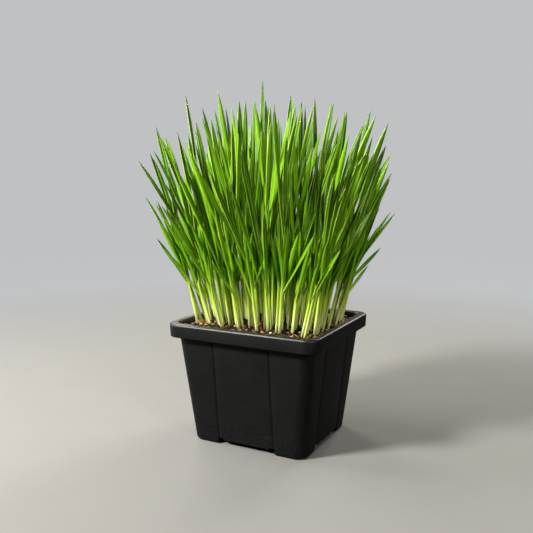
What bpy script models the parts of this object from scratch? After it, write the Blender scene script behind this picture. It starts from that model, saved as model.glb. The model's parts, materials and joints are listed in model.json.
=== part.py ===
"""Potted cat grass: a black nursery pot, the growing mix in it and thirty bunches of young grass.

Metres, +Z up. The origin is on the ground under the middle of the pot.
"""

import math
import random
from dataclasses import dataclass

import bmesh
import bpy
from mathutils import Vector
from mathutils.bvhtree import BVHTree

MM = 0.001
GAP = 0.3 * MM

# Pot
RIM_LENGTH = 110 * MM
RIM_DEPTH = 100 * MM
POT_HEIGHT = 83 * MM
BAND_HEIGHT = 9.2 * MM
BAND_WALL = 1.5 * MM
RIM_CORNER = 9 * MM
WALL_CORNER = 8 * MM
WALL = 1.3 * MM
WALL_INSET_TOP = 4.2 * MM
WALL_INSET_BOTTOM = 12.9 * MM
FOOT_HEIGHT = 3.6 * MM
FLOOR = 1.6 * MM
FLOOR_TOP = FOOT_HEIGHT + FLOOR
INNER_ROUNDING = 1.5 * MM
FOOT_ROUNDING = 1.8 * MM
RIM_ROUNDING = 1.6 * MM
LIP_ROUNDING = 1.4 * MM
BAND_EDGE = 0.5 * MM
BAND_DRAFT = 0.3 * MM
CORNER_STEPS = 5
ROUND_STEPS = 2
SHARP_ANGLE = math.radians(35)

# Grooves pressed into each side, as a share of half its length at the rim
GROOVE_SHARE = 0.375
GROOVE_WIDTH = 1.5 * MM
GROOVE_DEPTH = 0.6 * MM

# Underside
CUT_PAST = 2 * MM
NOTCH_WIDTH = 4 * MM
NOTCH_HEIGHT = 4.8 * MM
NOTCH_SHIFT = 1.3 * MM
NOTCH_CHAMFER = 0.4 * MM
POCKET_FROM_WALL = 5.5 * MM
POCKET_FROM_RECESS = 3.4 * MM
POCKET_CORNER = 3 * MM
DRAIN_RADIUS = 4 * MM
DRAIN_X = 28 * MM
DRAIN_Y = 25 * MM
DRAIN_SIDES = 12

# Growing mix
SOIL_TOP = 79 * MM
SOIL_RELIEF = 0.9 * MM
SOIL_BANDS = 4
SOIL_POINTS = 40
BED_CORNER = 5 * MM

# Bunches: their spacing, and the block of roots at the foot of each
COLUMNS = 6
ROWS = 5
PITCH_X = 15.4 * MM
PITCH_Y = 12.8 * MM
ROOT_X = 13.7 * MM
ROOT_Y = 11.1 * MM
ROOT_CHAMFER = 2.2 * MM
ROOT_DEPTH = 22 * MM
ROOT_RISE = 0.2 * MM
ROOT_NARROWING = 0.8

# Blades
PLANTS = 3
LEAVES = 4
BLADE_SEED = 11
PLANT_FROM_EDGE = 2.3 * MM
STEM_SPACING = 1.3 * MM
SPOTS = 12
ROOTED = 5 * MM
STEM_HEIGHT = 28 * MM
LONGEST_STEM = 0.4
STEM_WIDTH = 1.5 * MM
STEM_WIDENING = 1.1
STEM_THICKNESS = 1.1 * MM
ROOT_TAPER = 0.6
BLADE_WIDTHS = (4.1 * MM, 5.9 * MM)
BLADE_THICKNESS = 0.95 * MM
BROADEST = 0.58
SHOULDER = 0.86
SHOULDER_WIDTH = 0.78
SHOULDER_THICKNESS = 0.85

# How the grass stands: heights over the soil, lean at the wall, and how much both vary
TALLEST = 158 * MM
EDGE_DROP = 26 * MM
UNEVENNESS = 32 * MM
SPREAD = 40 * MM
FULL_LEAN = 1.25
LEAN_POWER = 1.25
LEAN_SHARES = (0.62, 1.08)
SPLAYS = (4 * MM, 27 * MM)
SHORT_CHANCE = 0.2
SHORT_CHANCE_AT_EDGE = 0.26
SHORT_SHARES = (0.42, 0.86)
SHORT_LEAN = 0.75
KNEE_OUT = 0.34
KNEE_UP = 0.54
CLEARANCE = 0.4 * MM
TRIES = 90
NEAREST = 12
LOOSE_FACING = 0.25
MOST_TWIST = 1.0

# The grass reaches this far to each side of the pot's middle
REACH_X = 84 * MM
REACH_Y = 78 * MM
WITHIN_REACH = 3 * MM

# Blades that shape the outline, chosen one by one. Each is the place of a tip: across and
# towards the front of the view over the pot's front corner, then its height above the soil.
VIEW_TURN = math.radians(27.5)
LISTED_TIPS = (
    (-6, 0, 166),
    (-57, 5, 155),
    (-47, -5, 148),
    (-36, 0, 158),
    (-26, 12, 146),
    (-18, -8, 153),
    (2, 8, 150),
    (13, -5, 157),
    (22, 10, 147),
    (29, 0, 154),
    (41, -6, 152),
    (50, 6, 145),
    (67, -2, 147),
    (-79, -6, 136),
    (-62, 12, 131),
    (-82, 4, 118),
    (-88, 12, 112),
    (-87, -4, 88),
    (-79, 2, 60),
    (-70, 20, 98),
    (76, 8, 122),
    (66, 20, 112),
    (82, -4, 101),
    (84, 4, 77),
    (66, 8, 42),
    (72, -18, 90),
    (-24, 62, 94),
    (-5, 66, 82),
    (12, 60, 108),
    (34, 58, 99),
    (31, 64, 62),
    (-44, 52, 104),
)
REACH_HEIGHT = 104 * MM


@dataclass
class Slot:
    """Room for one blade: its bunch, its foot, which side of its plant it is on, and its tip
    if nothing else is chosen for it."""

    bunch: int
    foot: Vector
    turn: float
    plant: Vector
    tip: Vector


@dataclass
class Blade:
    """One blade: where it leaves the soil, its tip, and how its flat face lies."""

    foot: Vector
    tip: Vector
    width: float
    facing: float
    twist: float


def clear_scene():
    for old in list(bpy.data.objects):
        bpy.data.objects.remove(old)


def make_material(name, colour, roughness):
    material = bpy.data.materials.new(name)
    material.use_nodes = True
    shader = material.node_tree.nodes["Principled BSDF"]
    shader.inputs["Base Color"].default_value = (*colour, 1)
    shader.inputs["Roughness"].default_value = roughness
    shader.inputs["Metallic"].default_value = 0
    return material


def make_object(name, shape, collection=None):
    """An object with the mesh that the bmesh holds, which is freed."""
    mesh = bpy.data.meshes.new(name)
    shape.to_mesh(mesh)
    shape.free()
    obj = bpy.data.objects.new(name, mesh)
    (collection or bpy.context.scene.collection).objects.link(obj)
    return obj


def combine(obj, operation, others):
    """Cuts away or adds every object of a collection, then removes that collection."""
    modifier = obj.modifiers.new("combine", "BOOLEAN")
    modifier.operation = operation
    modifier.operand_type = "COLLECTION"
    modifier.collection = others
    graph = bpy.context.evaluated_depsgraph_get()
    result = bpy.data.meshes.new_from_object(obj.evaluated_get(graph))
    result.name = obj.name
    obj.modifiers.clear()
    obj.data = result
    for helper in list(others.objects):
        bpy.data.objects.remove(helper)
    bpy.data.collections.remove(others)


def helpers(name):
    """A collection for the pieces that one Boolean takes."""
    collection = bpy.data.collections.new(name)
    bpy.context.scene.collection.children.link(collection)
    return collection


def outline(half_x, half_y, radius, groove=0.0):
    """A rounded rectangle, anticlockwise, with two places in each side pressed in by groove."""
    points = []
    for side in range(4):
        along, across = (half_x, half_y) if side % 2 == 0 else (half_y, half_x)
        turn = side * math.pi / 2
        rim_half = (RIM_LENGTH if side % 2 == 0 else RIM_DEPTH) / 2
        local = []
        for centre in (-GROOVE_SHARE * rim_half, GROOVE_SHARE * rim_half):
            local.append((centre - GROOVE_WIDTH / 2, -across))
            local.append((centre, -across + groove))
            local.append((centre + GROOVE_WIDTH / 2, -across))
        for step in range(CORNER_STEPS + 1):
            angle = -math.pi / 2 + step / CORNER_STEPS * math.pi / 2
            local.append(
                (
                    along - radius + radius * math.cos(angle),
                    -across + radius + radius * math.sin(angle),
                )
            )
        for x, y in local:
            points.append(
                (
                    x * math.cos(turn) - y * math.sin(turn),
                    x * math.sin(turn) + y * math.cos(turn),
                )
            )
    return points


def loft(shape, rings):
    """Joins rings of as many points with quads and closes the first and the last."""
    rows = [[shape.verts.new(point) for point in ring] for ring in rings]
    count = len(rows[0])
    for lower, upper in zip(rows, rows[1:]):
        for i in range(count):
            j = (i + 1) % count
            shape.faces.new((lower[i], lower[j], upper[j], upper[i]))
    shape.faces.new(list(reversed(rows[0])))
    shape.faces.new(rows[-1])
    bmesh.ops.recalc_face_normals(shape, faces=shape.faces)


def wall_inset(height):
    """How far the tapering wall stands in from the rim's outer edge."""
    return WALL_INSET_BOTTOM + (WALL_INSET_TOP - WALL_INSET_BOTTOM) * height / POT_HEIGHT


def pot_ring(height, inset, radius, groove=0.0):
    ring = outline(RIM_LENGTH / 2 - inset, RIM_DEPTH / 2 - inset, radius, groove)
    return [(x, y, height) for x, y in ring]


def quarter_round(radius):
    """A quarter circle from its foot to its side, as steps along and up."""
    angles = [math.pi / 2 * step / ROUND_STEPS for step in range(ROUND_STEPS + 1)]
    return [(radius * (1 - math.sin(a)), radius * (1 - math.cos(a))) for a in angles]


def pot_section():
    """The rings of the pot, from under the foot, over the rim and down to the floor inside."""
    flange = POT_HEIGHT - BAND_WALL
    band = POT_HEIGHT - BAND_HEIGHT
    lip = wall_inset(flange) + WALL
    rows = []
    for along, up in quarter_round(FOOT_ROUNDING):
        rows.append((up, wall_inset(up) + along, WALL_CORNER - along, GROOVE_DEPTH))
    rows.append((flange, wall_inset(flange), WALL_CORNER, GROOVE_DEPTH))
    inside = RIM_CORNER - BAND_WALL
    rows.append((flange, BAND_WALL, inside, 0))
    rows.append((band, BAND_WALL + BAND_DRAFT, inside, 0))
    rows.append((band, BAND_DRAFT + BAND_EDGE, RIM_CORNER - BAND_EDGE, 0))
    rows.append((band + BAND_EDGE, BAND_DRAFT, RIM_CORNER, 0))
    for along, up in reversed(quarter_round(RIM_ROUNDING)):
        rows.append((POT_HEIGHT - up, along, RIM_CORNER - along, 0))
    inner_corner = WALL_CORNER - WALL
    for along, up in quarter_round(LIP_ROUNDING):
        rows.append((POT_HEIGHT - up, lip - along, inner_corner + along, 0))
    for along, up in reversed(quarter_round(INNER_ROUNDING)):
        height = FLOOR_TOP + up
        inset = wall_inset(height) + WALL + along
        rows.append((height, inset, inner_corner - along, 0))
    return [pot_ring(*row) for row in rows]


def add_prism(name, points, levels, collection, centre=(0, 0)):
    """An upright prism. Each of its levels is a height and the share of points' size there."""
    shape = bmesh.new()
    rings = [
        [(centre[0] + x * share, centre[1] + y * share, height) for x, y in points]
        for height, share in levels
    ]
    loft(shape, rings)
    return make_object(name, shape, collection)


def chamfered(half_x, half_y, cut):
    """A rectangle with its corners cut off, anticlockwise."""
    return [
        (half_x, -half_y + cut),
        (half_x, half_y - cut),
        (half_x - cut, half_y),
        (-half_x + cut, half_y),
        (-half_x, half_y - cut),
        (-half_x, -half_y + cut),
        (-half_x + cut, -half_y),
        (half_x - cut, -half_y),
    ]


def up_to(height):
    """The levels of a cutter that comes up from under the pot."""
    return ((-CUT_PAST, 1), (height, 1))


def circle(radius, sides):
    turns = [2 * math.pi * i / sides for i in range(sides)]
    return [(radius * math.cos(t), radius * math.sin(t)) for t in turns]


def cut_underside(pot):
    """Cuts the cross between the four feet, their pockets, the notches and the drain holes."""
    cutters = helpers("pot cutters")
    arm_x = GROOVE_SHARE * RIM_LENGTH / 2
    arm_y = GROOVE_SHARE * RIM_DEPTH / 2
    cross = [
        (arm_x, -RIM_DEPTH),
        (arm_x, -arm_y),
        (RIM_LENGTH, -arm_y),
        (RIM_LENGTH, arm_y),
        (arm_x, arm_y),
        (arm_x, RIM_DEPTH),
        (-arm_x, RIM_DEPTH),
        (-arm_x, arm_y),
        (-RIM_LENGTH, arm_y),
        (-RIM_LENGTH, -arm_y),
        (-arm_x, -arm_y),
        (-arm_x, -RIM_DEPTH),
    ]
    add_prism("cross", cross, up_to(FOOT_HEIGHT), cutters)
    wall_x = RIM_LENGTH / 2 - wall_inset(0)
    wall_y = RIM_DEPTH / 2 - wall_inset(0)
    pocket_x = (wall_x - POCKET_FROM_WALL - arm_x - POCKET_FROM_RECESS) / 2
    pocket_y = (wall_y - POCKET_FROM_WALL - arm_y - POCKET_FROM_RECESS) / 2
    pocket = chamfered(pocket_x, pocket_y, POCKET_CORNER)
    notch = chamfered(NOTCH_WIDTH / 2, NOTCH_WIDTH / 2, NOTCH_CHAMFER)
    for side_x in (-1, 1):
        for side_y in (-1, 1):
            middle = (
                side_x * (arm_x + POCKET_FROM_RECESS + pocket_x),
                side_y * (arm_y + POCKET_FROM_RECESS + pocket_y),
            )
            add_prism("pocket", pocket, up_to(FOOT_HEIGHT), cutters, middle)
            on_front = (side_x * (arm_x - NOTCH_SHIFT), side_y * wall_y)
            on_side = (side_x * wall_x, side_y * (arm_y - NOTCH_SHIFT))
            for middle in (on_front, on_side):
                add_prism("notch", notch, up_to(NOTCH_HEIGHT), cutters, middle)
    drains = ((0, 0), (DRAIN_X, 0), (-DRAIN_X, 0), (0, DRAIN_Y), (0, -DRAIN_Y))
    for place in drains:
        drain = circle(DRAIN_RADIUS, DRAIN_SIDES)
        add_prism("drain", drain, up_to(FLOOR_TOP + CUT_PAST), cutters, place)
    combine(pot, "DIFFERENCE", cutters)


def build_pot():
    shape = bmesh.new()
    loft(shape, pot_section())
    pot = make_object("pot", shape)
    cut_underside(pot)
    pot.data.shade_smooth()
    pot.data.set_sharp_from_angle(angle=SHARP_ANGLE)
    pot.data.materials.clear()
    pot.data.materials.append(make_material("black plastic", (0.012, 0.012, 0.013), 0.42))


def even_ring(half_x, half_y, radius, count, height):
    """Points spaced evenly round a rounded rectangle."""
    straight_x = 2 * (half_x - radius)
    straight_y = 2 * (half_y - radius)
    arc = math.pi / 2 * radius
    lengths = (straight_y, arc, straight_x, arc) * 2
    total = sum(lengths)
    ring = []
    for i in range(count):
        left = total * i / count
        corner = 0
        while left > lengths[corner]:
            left -= lengths[corner]
            corner += 1
        turn = (corner // 2) * math.pi / 2
        flat = corner % 2 == 0
        even = (corner // 2) % 2 == 0
        along, across = (half_x, half_y) if even else (half_y, half_x)
        if flat:
            x, y = along, -(across - radius) + left
        else:
            angle = left / radius
            x = along - radius + radius * math.cos(angle)
            y = across - radius + radius * math.sin(angle)
        ring.append(
            (
                x * math.cos(turn) - y * math.sin(turn),
                x * math.sin(turn) + y * math.cos(turn),
                height,
            )
        )
    return ring


def soil_ring(height, extra_inset, radius):
    inset = wall_inset(height) + WALL + GAP + extra_inset
    half_x = RIM_LENGTH / 2 - inset
    half_y = RIM_DEPTH / 2 - inset
    return even_ring(half_x, half_y, radius, SOIL_POINTS, height)


def root_places():
    """The middle of each block of roots, row by row from the front."""
    return [
        Vector(((i - (COLUMNS - 1) / 2) * PITCH_X, (j - (ROWS - 1) / 2) * PITCH_Y, SOIL_TOP))
        for j in range(ROWS)
        for i in range(COLUMNS)
    ]


def open_band(edge):
    """Crumbly rings over the bare mix, from the wall to the level bed round the bunches."""
    draw = random.Random(BLADE_SEED)
    bed = even_ring(
        COLUMNS * PITCH_X / 2, ROWS * PITCH_Y / 2, BED_CORNER, SOIL_POINTS, SOIL_TOP
    )
    rings = []
    for step in range(1, SOIL_BANDS + 1):
        share = step / SOIL_BANDS
        relief = SOIL_RELIEF if step < SOIL_BANDS else 0
        ring = []
        for outer, inner in zip(edge, bed):
            lift = draw.uniform(-relief, relief)
            x = outer[0] + (inner[0] - outer[0]) * share
            y = outer[1] + (inner[1] - outer[1]) * share
            ring.append((x, y, SOIL_TOP + lift))
        rings.append(ring)
    return rings


def build_soil():
    """The mix fills the pot, with a crumbly rim and a plain hole for each block of roots."""
    corner = WALL_CORNER - WALL - GAP
    bottom = FLOOR_TOP + GAP
    rings = [
        soil_ring(bottom, INNER_ROUNDING, corner - INNER_ROUNDING),
        soil_ring(bottom + INNER_ROUNDING, 0, corner),
        soil_ring(SOIL_TOP, 0, corner),
    ]
    rings += open_band(rings[-1])
    shape = bmesh.new()
    loft(shape, rings)
    bmesh.ops.triangulate(shape, faces=shape.faces)
    soil = make_object("soil", shape)
    cutters = helpers("root holes")
    hole = chamfered(ROOT_X / 2 + GAP, ROOT_Y / 2 + GAP, ROOT_CHAMFER)
    levels = ((SOIL_TOP - ROOT_DEPTH - GAP, ROOT_NARROWING), (SOIL_TOP + GAP, 1))
    for place in root_places():
        add_prism("root hole", hole, levels, cutters, place.xy)
    combine(soil, "DIFFERENCE", cutters)
    soil.data.materials.clear()
    soil.data.materials.append(make_material("growing mix", (0.03, 0.017, 0.01), 0.95))


def natural_tip(plant, turn, draw):
    """Where a blade's tip comes by itself: its plant leans out more, and is shorter, near the
    wall, and the blade splays to its own side of the plant."""
    share = Vector((plant.x / (COLUMNS * PITCH_X / 2), plant.y / (ROWS * PITCH_Y / 2)))
    edge = min(share.length, FULL_LEAN)
    tip = Vector((plant.x, plant.y, 0))
    away = tip.normalized() * SPREAD * edge**LEAN_POWER * draw.uniform(*LEAN_SHARES)
    away += Vector((math.cos(turn), math.sin(turn), 0)) * draw.uniform(*SPLAYS)
    height = TALLEST - EDGE_DROP * edge**2 - draw.uniform(0, UNEVENNESS)
    if draw.random() < SHORT_CHANCE + SHORT_CHANCE_AT_EDGE * edge:
        height *= draw.uniform(*SHORT_SHARES)
        away *= SHORT_LEAN
    tip += away
    beyond = math.hypot(tip.x / (REACH_X - WITHIN_REACH), tip.y / (REACH_Y - WITHIN_REACH))
    tip /= max(beyond, 1)
    tip.z = SOIL_TOP + height
    return tip


def chosen_tips():
    """The tips that shape the outline, then the four that reach furthest along X and Y."""
    across = Vector((math.cos(VIEW_TURN), math.sin(VIEW_TURN), 0))
    forward = Vector((math.sin(VIEW_TURN), -math.cos(VIEW_TURN), 0))
    tips = []
    for u, v, height in LISTED_TIPS:
        tips.append((across * u + forward * v + Vector((0, 0, height))) * MM)
    for x, y in ((REACH_X, 0), (-REACH_X, 0), (0, REACH_Y), (0, -REACH_Y)):
        tips.append(Vector((x, y, REACH_HEIGHT)))
    return [tip + Vector((0, 0, SOIL_TOP)) for tip in tips]


def plants_of_bunch(place, draw):
    """Spread places for the plants on one block of roots: each is the best of several draws."""
    half_x = ROOT_X / 2 - PLANT_FROM_EDGE
    half_y = ROOT_Y / 2 - PLANT_FROM_EDGE
    corner = half_x + half_y - ROOT_CHAMFER / 2
    plants = []
    for _ in range(PLANTS):
        choices = []
        while len(choices) < SPOTS:
            x, y = draw.uniform(-half_x, half_x), draw.uniform(-half_y, half_y)
            if abs(x) + abs(y) < corner:
                spot = place + Vector((x, y, 0))
                nearest = min(((spot - plant).length for plant in plants), default=0)
                choices.append((nearest, *spot))
        plants.append(Vector(max(choices)[1:]))
    return plants


def slots_of_bunch(bunch, place, draw):
    """A slot for each blade: its bunch, foot, the side of its plant, the plant and its own tip."""
    slots = []
    for plant in plants_of_bunch(place, draw):
        first = draw.uniform(0, 2 * math.pi)
        for leaf in range(LEAVES):
            turn = first + leaf * 2 * math.pi / LEAVES
            foot = plant + Vector((math.cos(turn), math.sin(turn), 0)) * STEM_SPACING
            slots.append(Slot(bunch, foot, turn, plant, natural_tip(plant, turn, draw)))
    return slots


def reach_and_knee(blade):
    """From the foot to the tip, and to the point that the blade bends over on its way."""
    reach = blade.tip - blade.foot
    return reach, Vector((reach.x * KNEE_OUT, reach.y * KNEE_OUT, reach.z * KNEE_UP))


def axis_point(blade, t):
    """The middle line of a blade, from the soil at 0 to the tip at 1, bending outwards."""
    reach, knee = reach_and_knee(blade)
    return blade.foot + 2 * t * (1 - t) * knee + t * t * reach


def axis_direction(blade, t):
    reach, knee = reach_and_knee(blade)
    return ((1 - t) * knee + t * (reach - knee)).normalized()


def section(blade, t, width, thickness, margin):
    """Left edge, right edge and back ridge of a blade at t."""
    along = axis_direction(blade, t)
    turn = blade.facing + blade.twist * t
    face = Vector((math.cos(turn), math.sin(turn), 0))
    face = (face - along * along.dot(face)).normalized()
    side = along.cross(face)
    middle = axis_point(blade, t)
    half = width / 2 + 2 * margin
    flat = middle - face * (thickness / 3 + margin)
    return (flat - side * half, flat + side * half, middle + face * (thickness * 2 / 3 + margin))


def blade_shape(blade, margin=0.0):
    """A three-sided blade: a stem that widens to a flat leaf and ends in a point."""
    stem = min(STEM_HEIGHT / (2 * KNEE_UP * (blade.tip.z - blade.foot.z)), LONGEST_STEM)
    shoulder = blade.width * SHOULDER_WIDTH
    sections = [
        section(blade, 0, STEM_WIDTH, STEM_THICKNESS, margin),
        section(blade, stem, STEM_WIDTH * STEM_WIDENING, STEM_THICKNESS, margin),
        section(blade, BROADEST, blade.width, BLADE_THICKNESS, margin),
        section(blade, SHOULDER, shoulder, BLADE_THICKNESS * SHOULDER_THICKNESS, margin),
    ]
    down = axis_direction(blade, 0) * ROOTED
    middle = axis_point(blade, 0)
    first = [middle + (point - middle) * ROOT_TAPER - down for point in sections[0]]
    sections[0] = first
    shape = bmesh.new()
    rows = [[shape.verts.new(point) for point in row] for row in sections]
    tip = shape.verts.new(blade.tip)
    for lower, upper in zip(rows, rows[1:]):
        for i, j in ((0, 1), (2, 1), (0, 2)):
            shape.faces.new((lower[i], lower[j], upper[j]))
            shape.faces.new((lower[i], upper[j], upper[i]))
    for i, j in ((0, 1), (2, 1), (0, 2)):
        shape.faces.new((rows[-1][i], rows[-1][j], tip))
    shape.faces.new(rows[0])
    bmesh.ops.recalc_face_normals(shape, faces=shape.faces)
    return shape


def surroundings(shape):
    """A blade's search tree and its box, for finding what it crosses."""
    tree = BVHTree.FromBMesh(shape)
    low = [min(vert.co[axis] for vert in shape.verts) for axis in range(3)]
    high = [max(vert.co[axis] for vert in shape.verts) for axis in range(3)]
    shape.free()
    return tree, low, high


def crosses(one, other):
    apart = any(one[1][axis] > other[2][axis] or other[1][axis] > one[2][axis] for axis in range(3))
    return not apart and bool(one[0].overlap(other[0]))


def fit_blade(slot, aims, grown, draw):
    """The first blade towards one of the aims that is clear of other bunches and crosses no
    blade of its own, or None. Each grown item is a bunch and its blade's surroundings."""
    for aim in aims:
        width = draw.uniform(*BLADE_WIDTHS)
        facing = slot.turn + draw.uniform(-LOOSE_FACING, LOOSE_FACING)
        blade = Blade(slot.foot, aim, width, facing, draw.uniform(-MOST_TWIST, MOST_TWIST))
        bare = surroundings(blade_shape(blade))
        wide = surroundings(blade_shape(blade, CLEARANCE))
        if not any(crosses(bare if bunch == slot.bunch else wide, other) for bunch, other in grown):
            grown.append((slot.bunch, bare))
            return blade
    return None


def grow_blades():
    """The blades of every bunch: first those with a chosen tip, from the foot that suits it."""
    draw = random.Random(BLADE_SEED)
    places = root_places()
    free = []
    for bunch, place in enumerate(places):
        free += slots_of_bunch(bunch, place, draw)
    grown = []
    bunches = [[] for _ in places]
    for tip in chosen_tips():
        near = sorted(free, key=lambda slot: (slot.tip.xy - tip.xy).length)[:NEAREST]
        for slot in near:
            blade = fit_blade(slot, [tip] * TRIES, grown, draw)
            if blade:
                bunches[slot.bunch].append(blade)
                free.remove(slot)
                break
    for slot in free:
        aims = (natural_tip(slot.plant, slot.turn, draw) for _ in range(TRIES))
        blade = fit_blade(slot, aims, grown, draw)
        if blade:
            bunches[slot.bunch].append(blade)
    return bunches


def build_bunch(name, place, blades, material):
    """One bunch: its block of roots with every blade joined into it."""
    roots = chamfered(ROOT_X / 2, ROOT_Y / 2, ROOT_CHAMFER)
    scene = bpy.context.scene.collection
    levels = ((SOIL_TOP - ROOT_DEPTH, ROOT_NARROWING), (SOIL_TOP + ROOT_RISE, 1))
    bunch = add_prism(name, roots, levels, scene, place.xy)
    pieces = helpers("blades")
    for blade in blades:
        make_object("blade", blade_shape(blade), pieces)
    combine(bunch, "UNION", pieces)
    bunch.data.materials.clear()
    bunch.data.materials.append(material)


def build_grass():
    material = make_material("young grass", (0.13, 0.36, 0.03), 0.45)
    places = root_places()
    for number, (place, blades) in enumerate(zip(places, grow_blades()), 1):
        build_bunch(f"grass_bunch_{number:02d}", place, blades, material)


def main():
    clear_scene()
    build_pot()
    build_soil()
    build_grass()


main()
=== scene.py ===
"""Potted cat grass: the finish of the black nursery pot, the growing mix and the young grass."""

import json
import math
import random
from dataclasses import dataclass

import bmesh
import bpy
import numpy as np
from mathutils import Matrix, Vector, noise
from mathutils.bvhtree import BVHTree

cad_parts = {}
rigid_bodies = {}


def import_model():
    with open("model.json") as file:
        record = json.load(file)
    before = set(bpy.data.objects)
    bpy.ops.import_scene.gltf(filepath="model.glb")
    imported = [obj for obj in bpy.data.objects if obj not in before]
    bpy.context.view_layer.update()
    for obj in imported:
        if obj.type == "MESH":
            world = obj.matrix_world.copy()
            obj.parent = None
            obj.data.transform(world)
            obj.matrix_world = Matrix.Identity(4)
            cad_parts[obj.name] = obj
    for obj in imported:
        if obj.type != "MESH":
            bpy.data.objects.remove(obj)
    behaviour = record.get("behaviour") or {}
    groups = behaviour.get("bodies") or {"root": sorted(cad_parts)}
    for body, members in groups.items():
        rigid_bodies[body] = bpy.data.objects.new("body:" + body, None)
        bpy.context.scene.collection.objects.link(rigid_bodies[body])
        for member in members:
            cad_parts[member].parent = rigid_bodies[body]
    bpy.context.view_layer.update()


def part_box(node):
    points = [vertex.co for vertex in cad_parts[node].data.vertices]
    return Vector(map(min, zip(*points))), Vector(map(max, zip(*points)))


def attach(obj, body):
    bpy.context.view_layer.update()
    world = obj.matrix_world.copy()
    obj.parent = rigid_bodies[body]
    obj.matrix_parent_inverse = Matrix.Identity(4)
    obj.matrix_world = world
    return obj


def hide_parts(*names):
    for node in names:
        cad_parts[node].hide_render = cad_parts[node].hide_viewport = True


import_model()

MM = 0.001
POT_LOW, POT_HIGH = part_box("pot")

# Light from all round, and how bright that backdrop looks
WORLD_LIGHT = 0.028
WORLD_SEEN = 0.56

BACKDROP = (0.93, 0.95, 0.97, 1)
FLOOR_SEEN = (0.15, 0.147, 0.144, 1)
FLOOR_SHADE = (0.025, 0.024, 0.023, 1)
FLOOR_GRAIN = 0.94
FLOOR_RADIUS = 4
FADE = (0.2, 0.75)

# Camera: it looks over the pot's front corner, a little from above
VIEW_AZIMUTH = 27.52
VIEW_ELEVATION = 7.52
VIEW_DISTANCE = 446.05 * MM
AIM_ACROSS = -3.4 * MM
AIM_HEIGHT = 118.81 * MM
SENSOR = 36
LENS = 43.49

# Lights: how far each stands round to the right and up, how far away, its size, power and colour
LIT_MIDDLE = Vector((0, 0, 0.13))
LIGHTS = (
    ("key", -34, 34, 0.9, 0.16, 27, (1, 0.98, 0.92)),
    ("high left", -76, 60, 0.9, 0.35, 6, (1, 0.98, 0.92)),
    ("behind left", -132, 34, 0.9, 0.3, 6, (1, 0.97, 0.86)),
    ("low left", -82, 6, 0.9, 0.2, 4, (1, 0.98, 0.93)),
    ("behind right", 170, 36, 0.9, 0.3, 9, (1, 0.98, 0.88)),
    ("low front", 60, 20, 1.0, 0.16, 5, (1, 0.99, 0.92)),
)

# Pot
RIM_LENGTH = POT_HIGH.x - POT_LOW.x
RIM_DEPTH = POT_HIGH.y - POT_LOW.y
POT_HEIGHT = POT_HIGH.z
BAND_HEIGHT = 9.2 * MM
BAND_WALL = 1.5 * MM
BAND_EDGE = 0.6 * MM
BAND_DRAFT = 0.3 * MM
RIM_CORNER = 9 * MM
RIM_ROUNDING = 1.6 * MM
LIP_ROUNDING = 1.4 * MM
WALL = 1.3 * MM
WALL_CORNER = 8 * MM
WALL_INSET_TOP = 4.2 * MM
WALL_INSET_BOTTOM = 12.9 * MM
FOOT_HEIGHT = 3.6 * MM
FOOT_ROUNDING = 1.8 * MM
FLOOR_TOP = 5.2 * MM
INNER_ROUNDING = 1.5 * MM
CORNER_STEPS = 14
ROUND_STEPS = 6
SHARP_ANGLE = math.radians(38)

# Grooves pressed into each side, as a share of half its length at the rim
GROOVE_SHARE = 0.375
GROOVE_PROFILE = (
    (-1.25, 0), (-0.95, 0.06), (-0.7, 0.2), (-0.12, 0.92), (0, 1),
    (0.12, 0.92), (0.7, 0.2), (0.95, 0.06), (1.25, 0),
)
GROOVE_WIDTH = 1.25 * MM
GROOVE_DEPTH = 0.75 * MM

PLASTIC_SHADES = ((0.0025, 0.0025, 0.0027, 1), (0.0042, 0.0042, 0.0046, 1))
DUST_SHADE = (0.09, 0.082, 0.072, 1)

# Underside
CUT_PAST = 2 * MM
NOTCH_WIDTH = 4 * MM
NOTCH_HEIGHT = 4.8 * MM
NOTCH_SHIFT = 1.3 * MM
NOTCH_CHAMFER = 0.4 * MM
POCKET_FROM_WALL = 5.5 * MM
POCKET_FROM_RECESS = 3.4 * MM
POCKET_CORNER = 3 * MM
DRAIN_RADIUS = 4 * MM
DRAIN_X = 28 * MM
DRAIN_Y = 25 * MM
DRAIN_SIDES = 32

# Growing mix
SOIL_TOP = 79 * MM
SOIL_GAP = 0.3 * MM
SOIL_POINTS = 132
SOIL_RINGS = 30
SOIL_MIDDLE = 0.03
SOIL_LUMPS = 1.3 * MM
LUMPS_SCALE = 110
SOIL_GRIT = 0.45 * MM
GRIT_SCALE = 420
SOIL_DIP = 0.7 * MM
MIX_SHADES = ((14, 9, 6), (48, 32, 20), (96, 66, 42))

# What lies loose on the mix, as far out as this share of the way to the wall. Each kind has its
# finish, seed, least spacing, smallest and largest size, smoothness, lumpiness and height.
SCATTER_SHARE = 0.955
CHIP_INPUTS = ("Seed", "Spacing", "Smallest", "Largest", "Subdivisions", "Lumpiness", "Lift")
CHIPS = {
    "peat_crumbs": ("peat", 5, 1.75 * MM, 1.5 * MM, 3.6 * MM, 1, 0.75, 0.6 * MM),
    "bark_chips": ("bark", 8, 4.9 * MM, 1.9 * MM, 3.9 * MM, 2, 0.6, 1.1 * MM),
    "bark_grit": ("bark", 13, 4.2 * MM, 0.8 * MM, 1.7 * MM, 1, 0.6, 1.3 * MM),
}
CHIP_SLIMNESS = 0.85

# The differently lumpy shapes that chips are made in, each shorter than the one before
CHIP_KINDS = 5
CHIP_LENGTH = 1.25
CHIP_SHORTENING = 0.12
CHIP_THICKNESS = 0.5
CHIP_THICKENING = 0.1
CHIP_LUMPS = 1.7
CHIP_UNLIKENESS = 3.7
CHIP_TURNS = ((-0.5, -0.5, -3.14), (0.5, 0.5, 3.14))
MOST_CHIPS = 2_000_000

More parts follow.
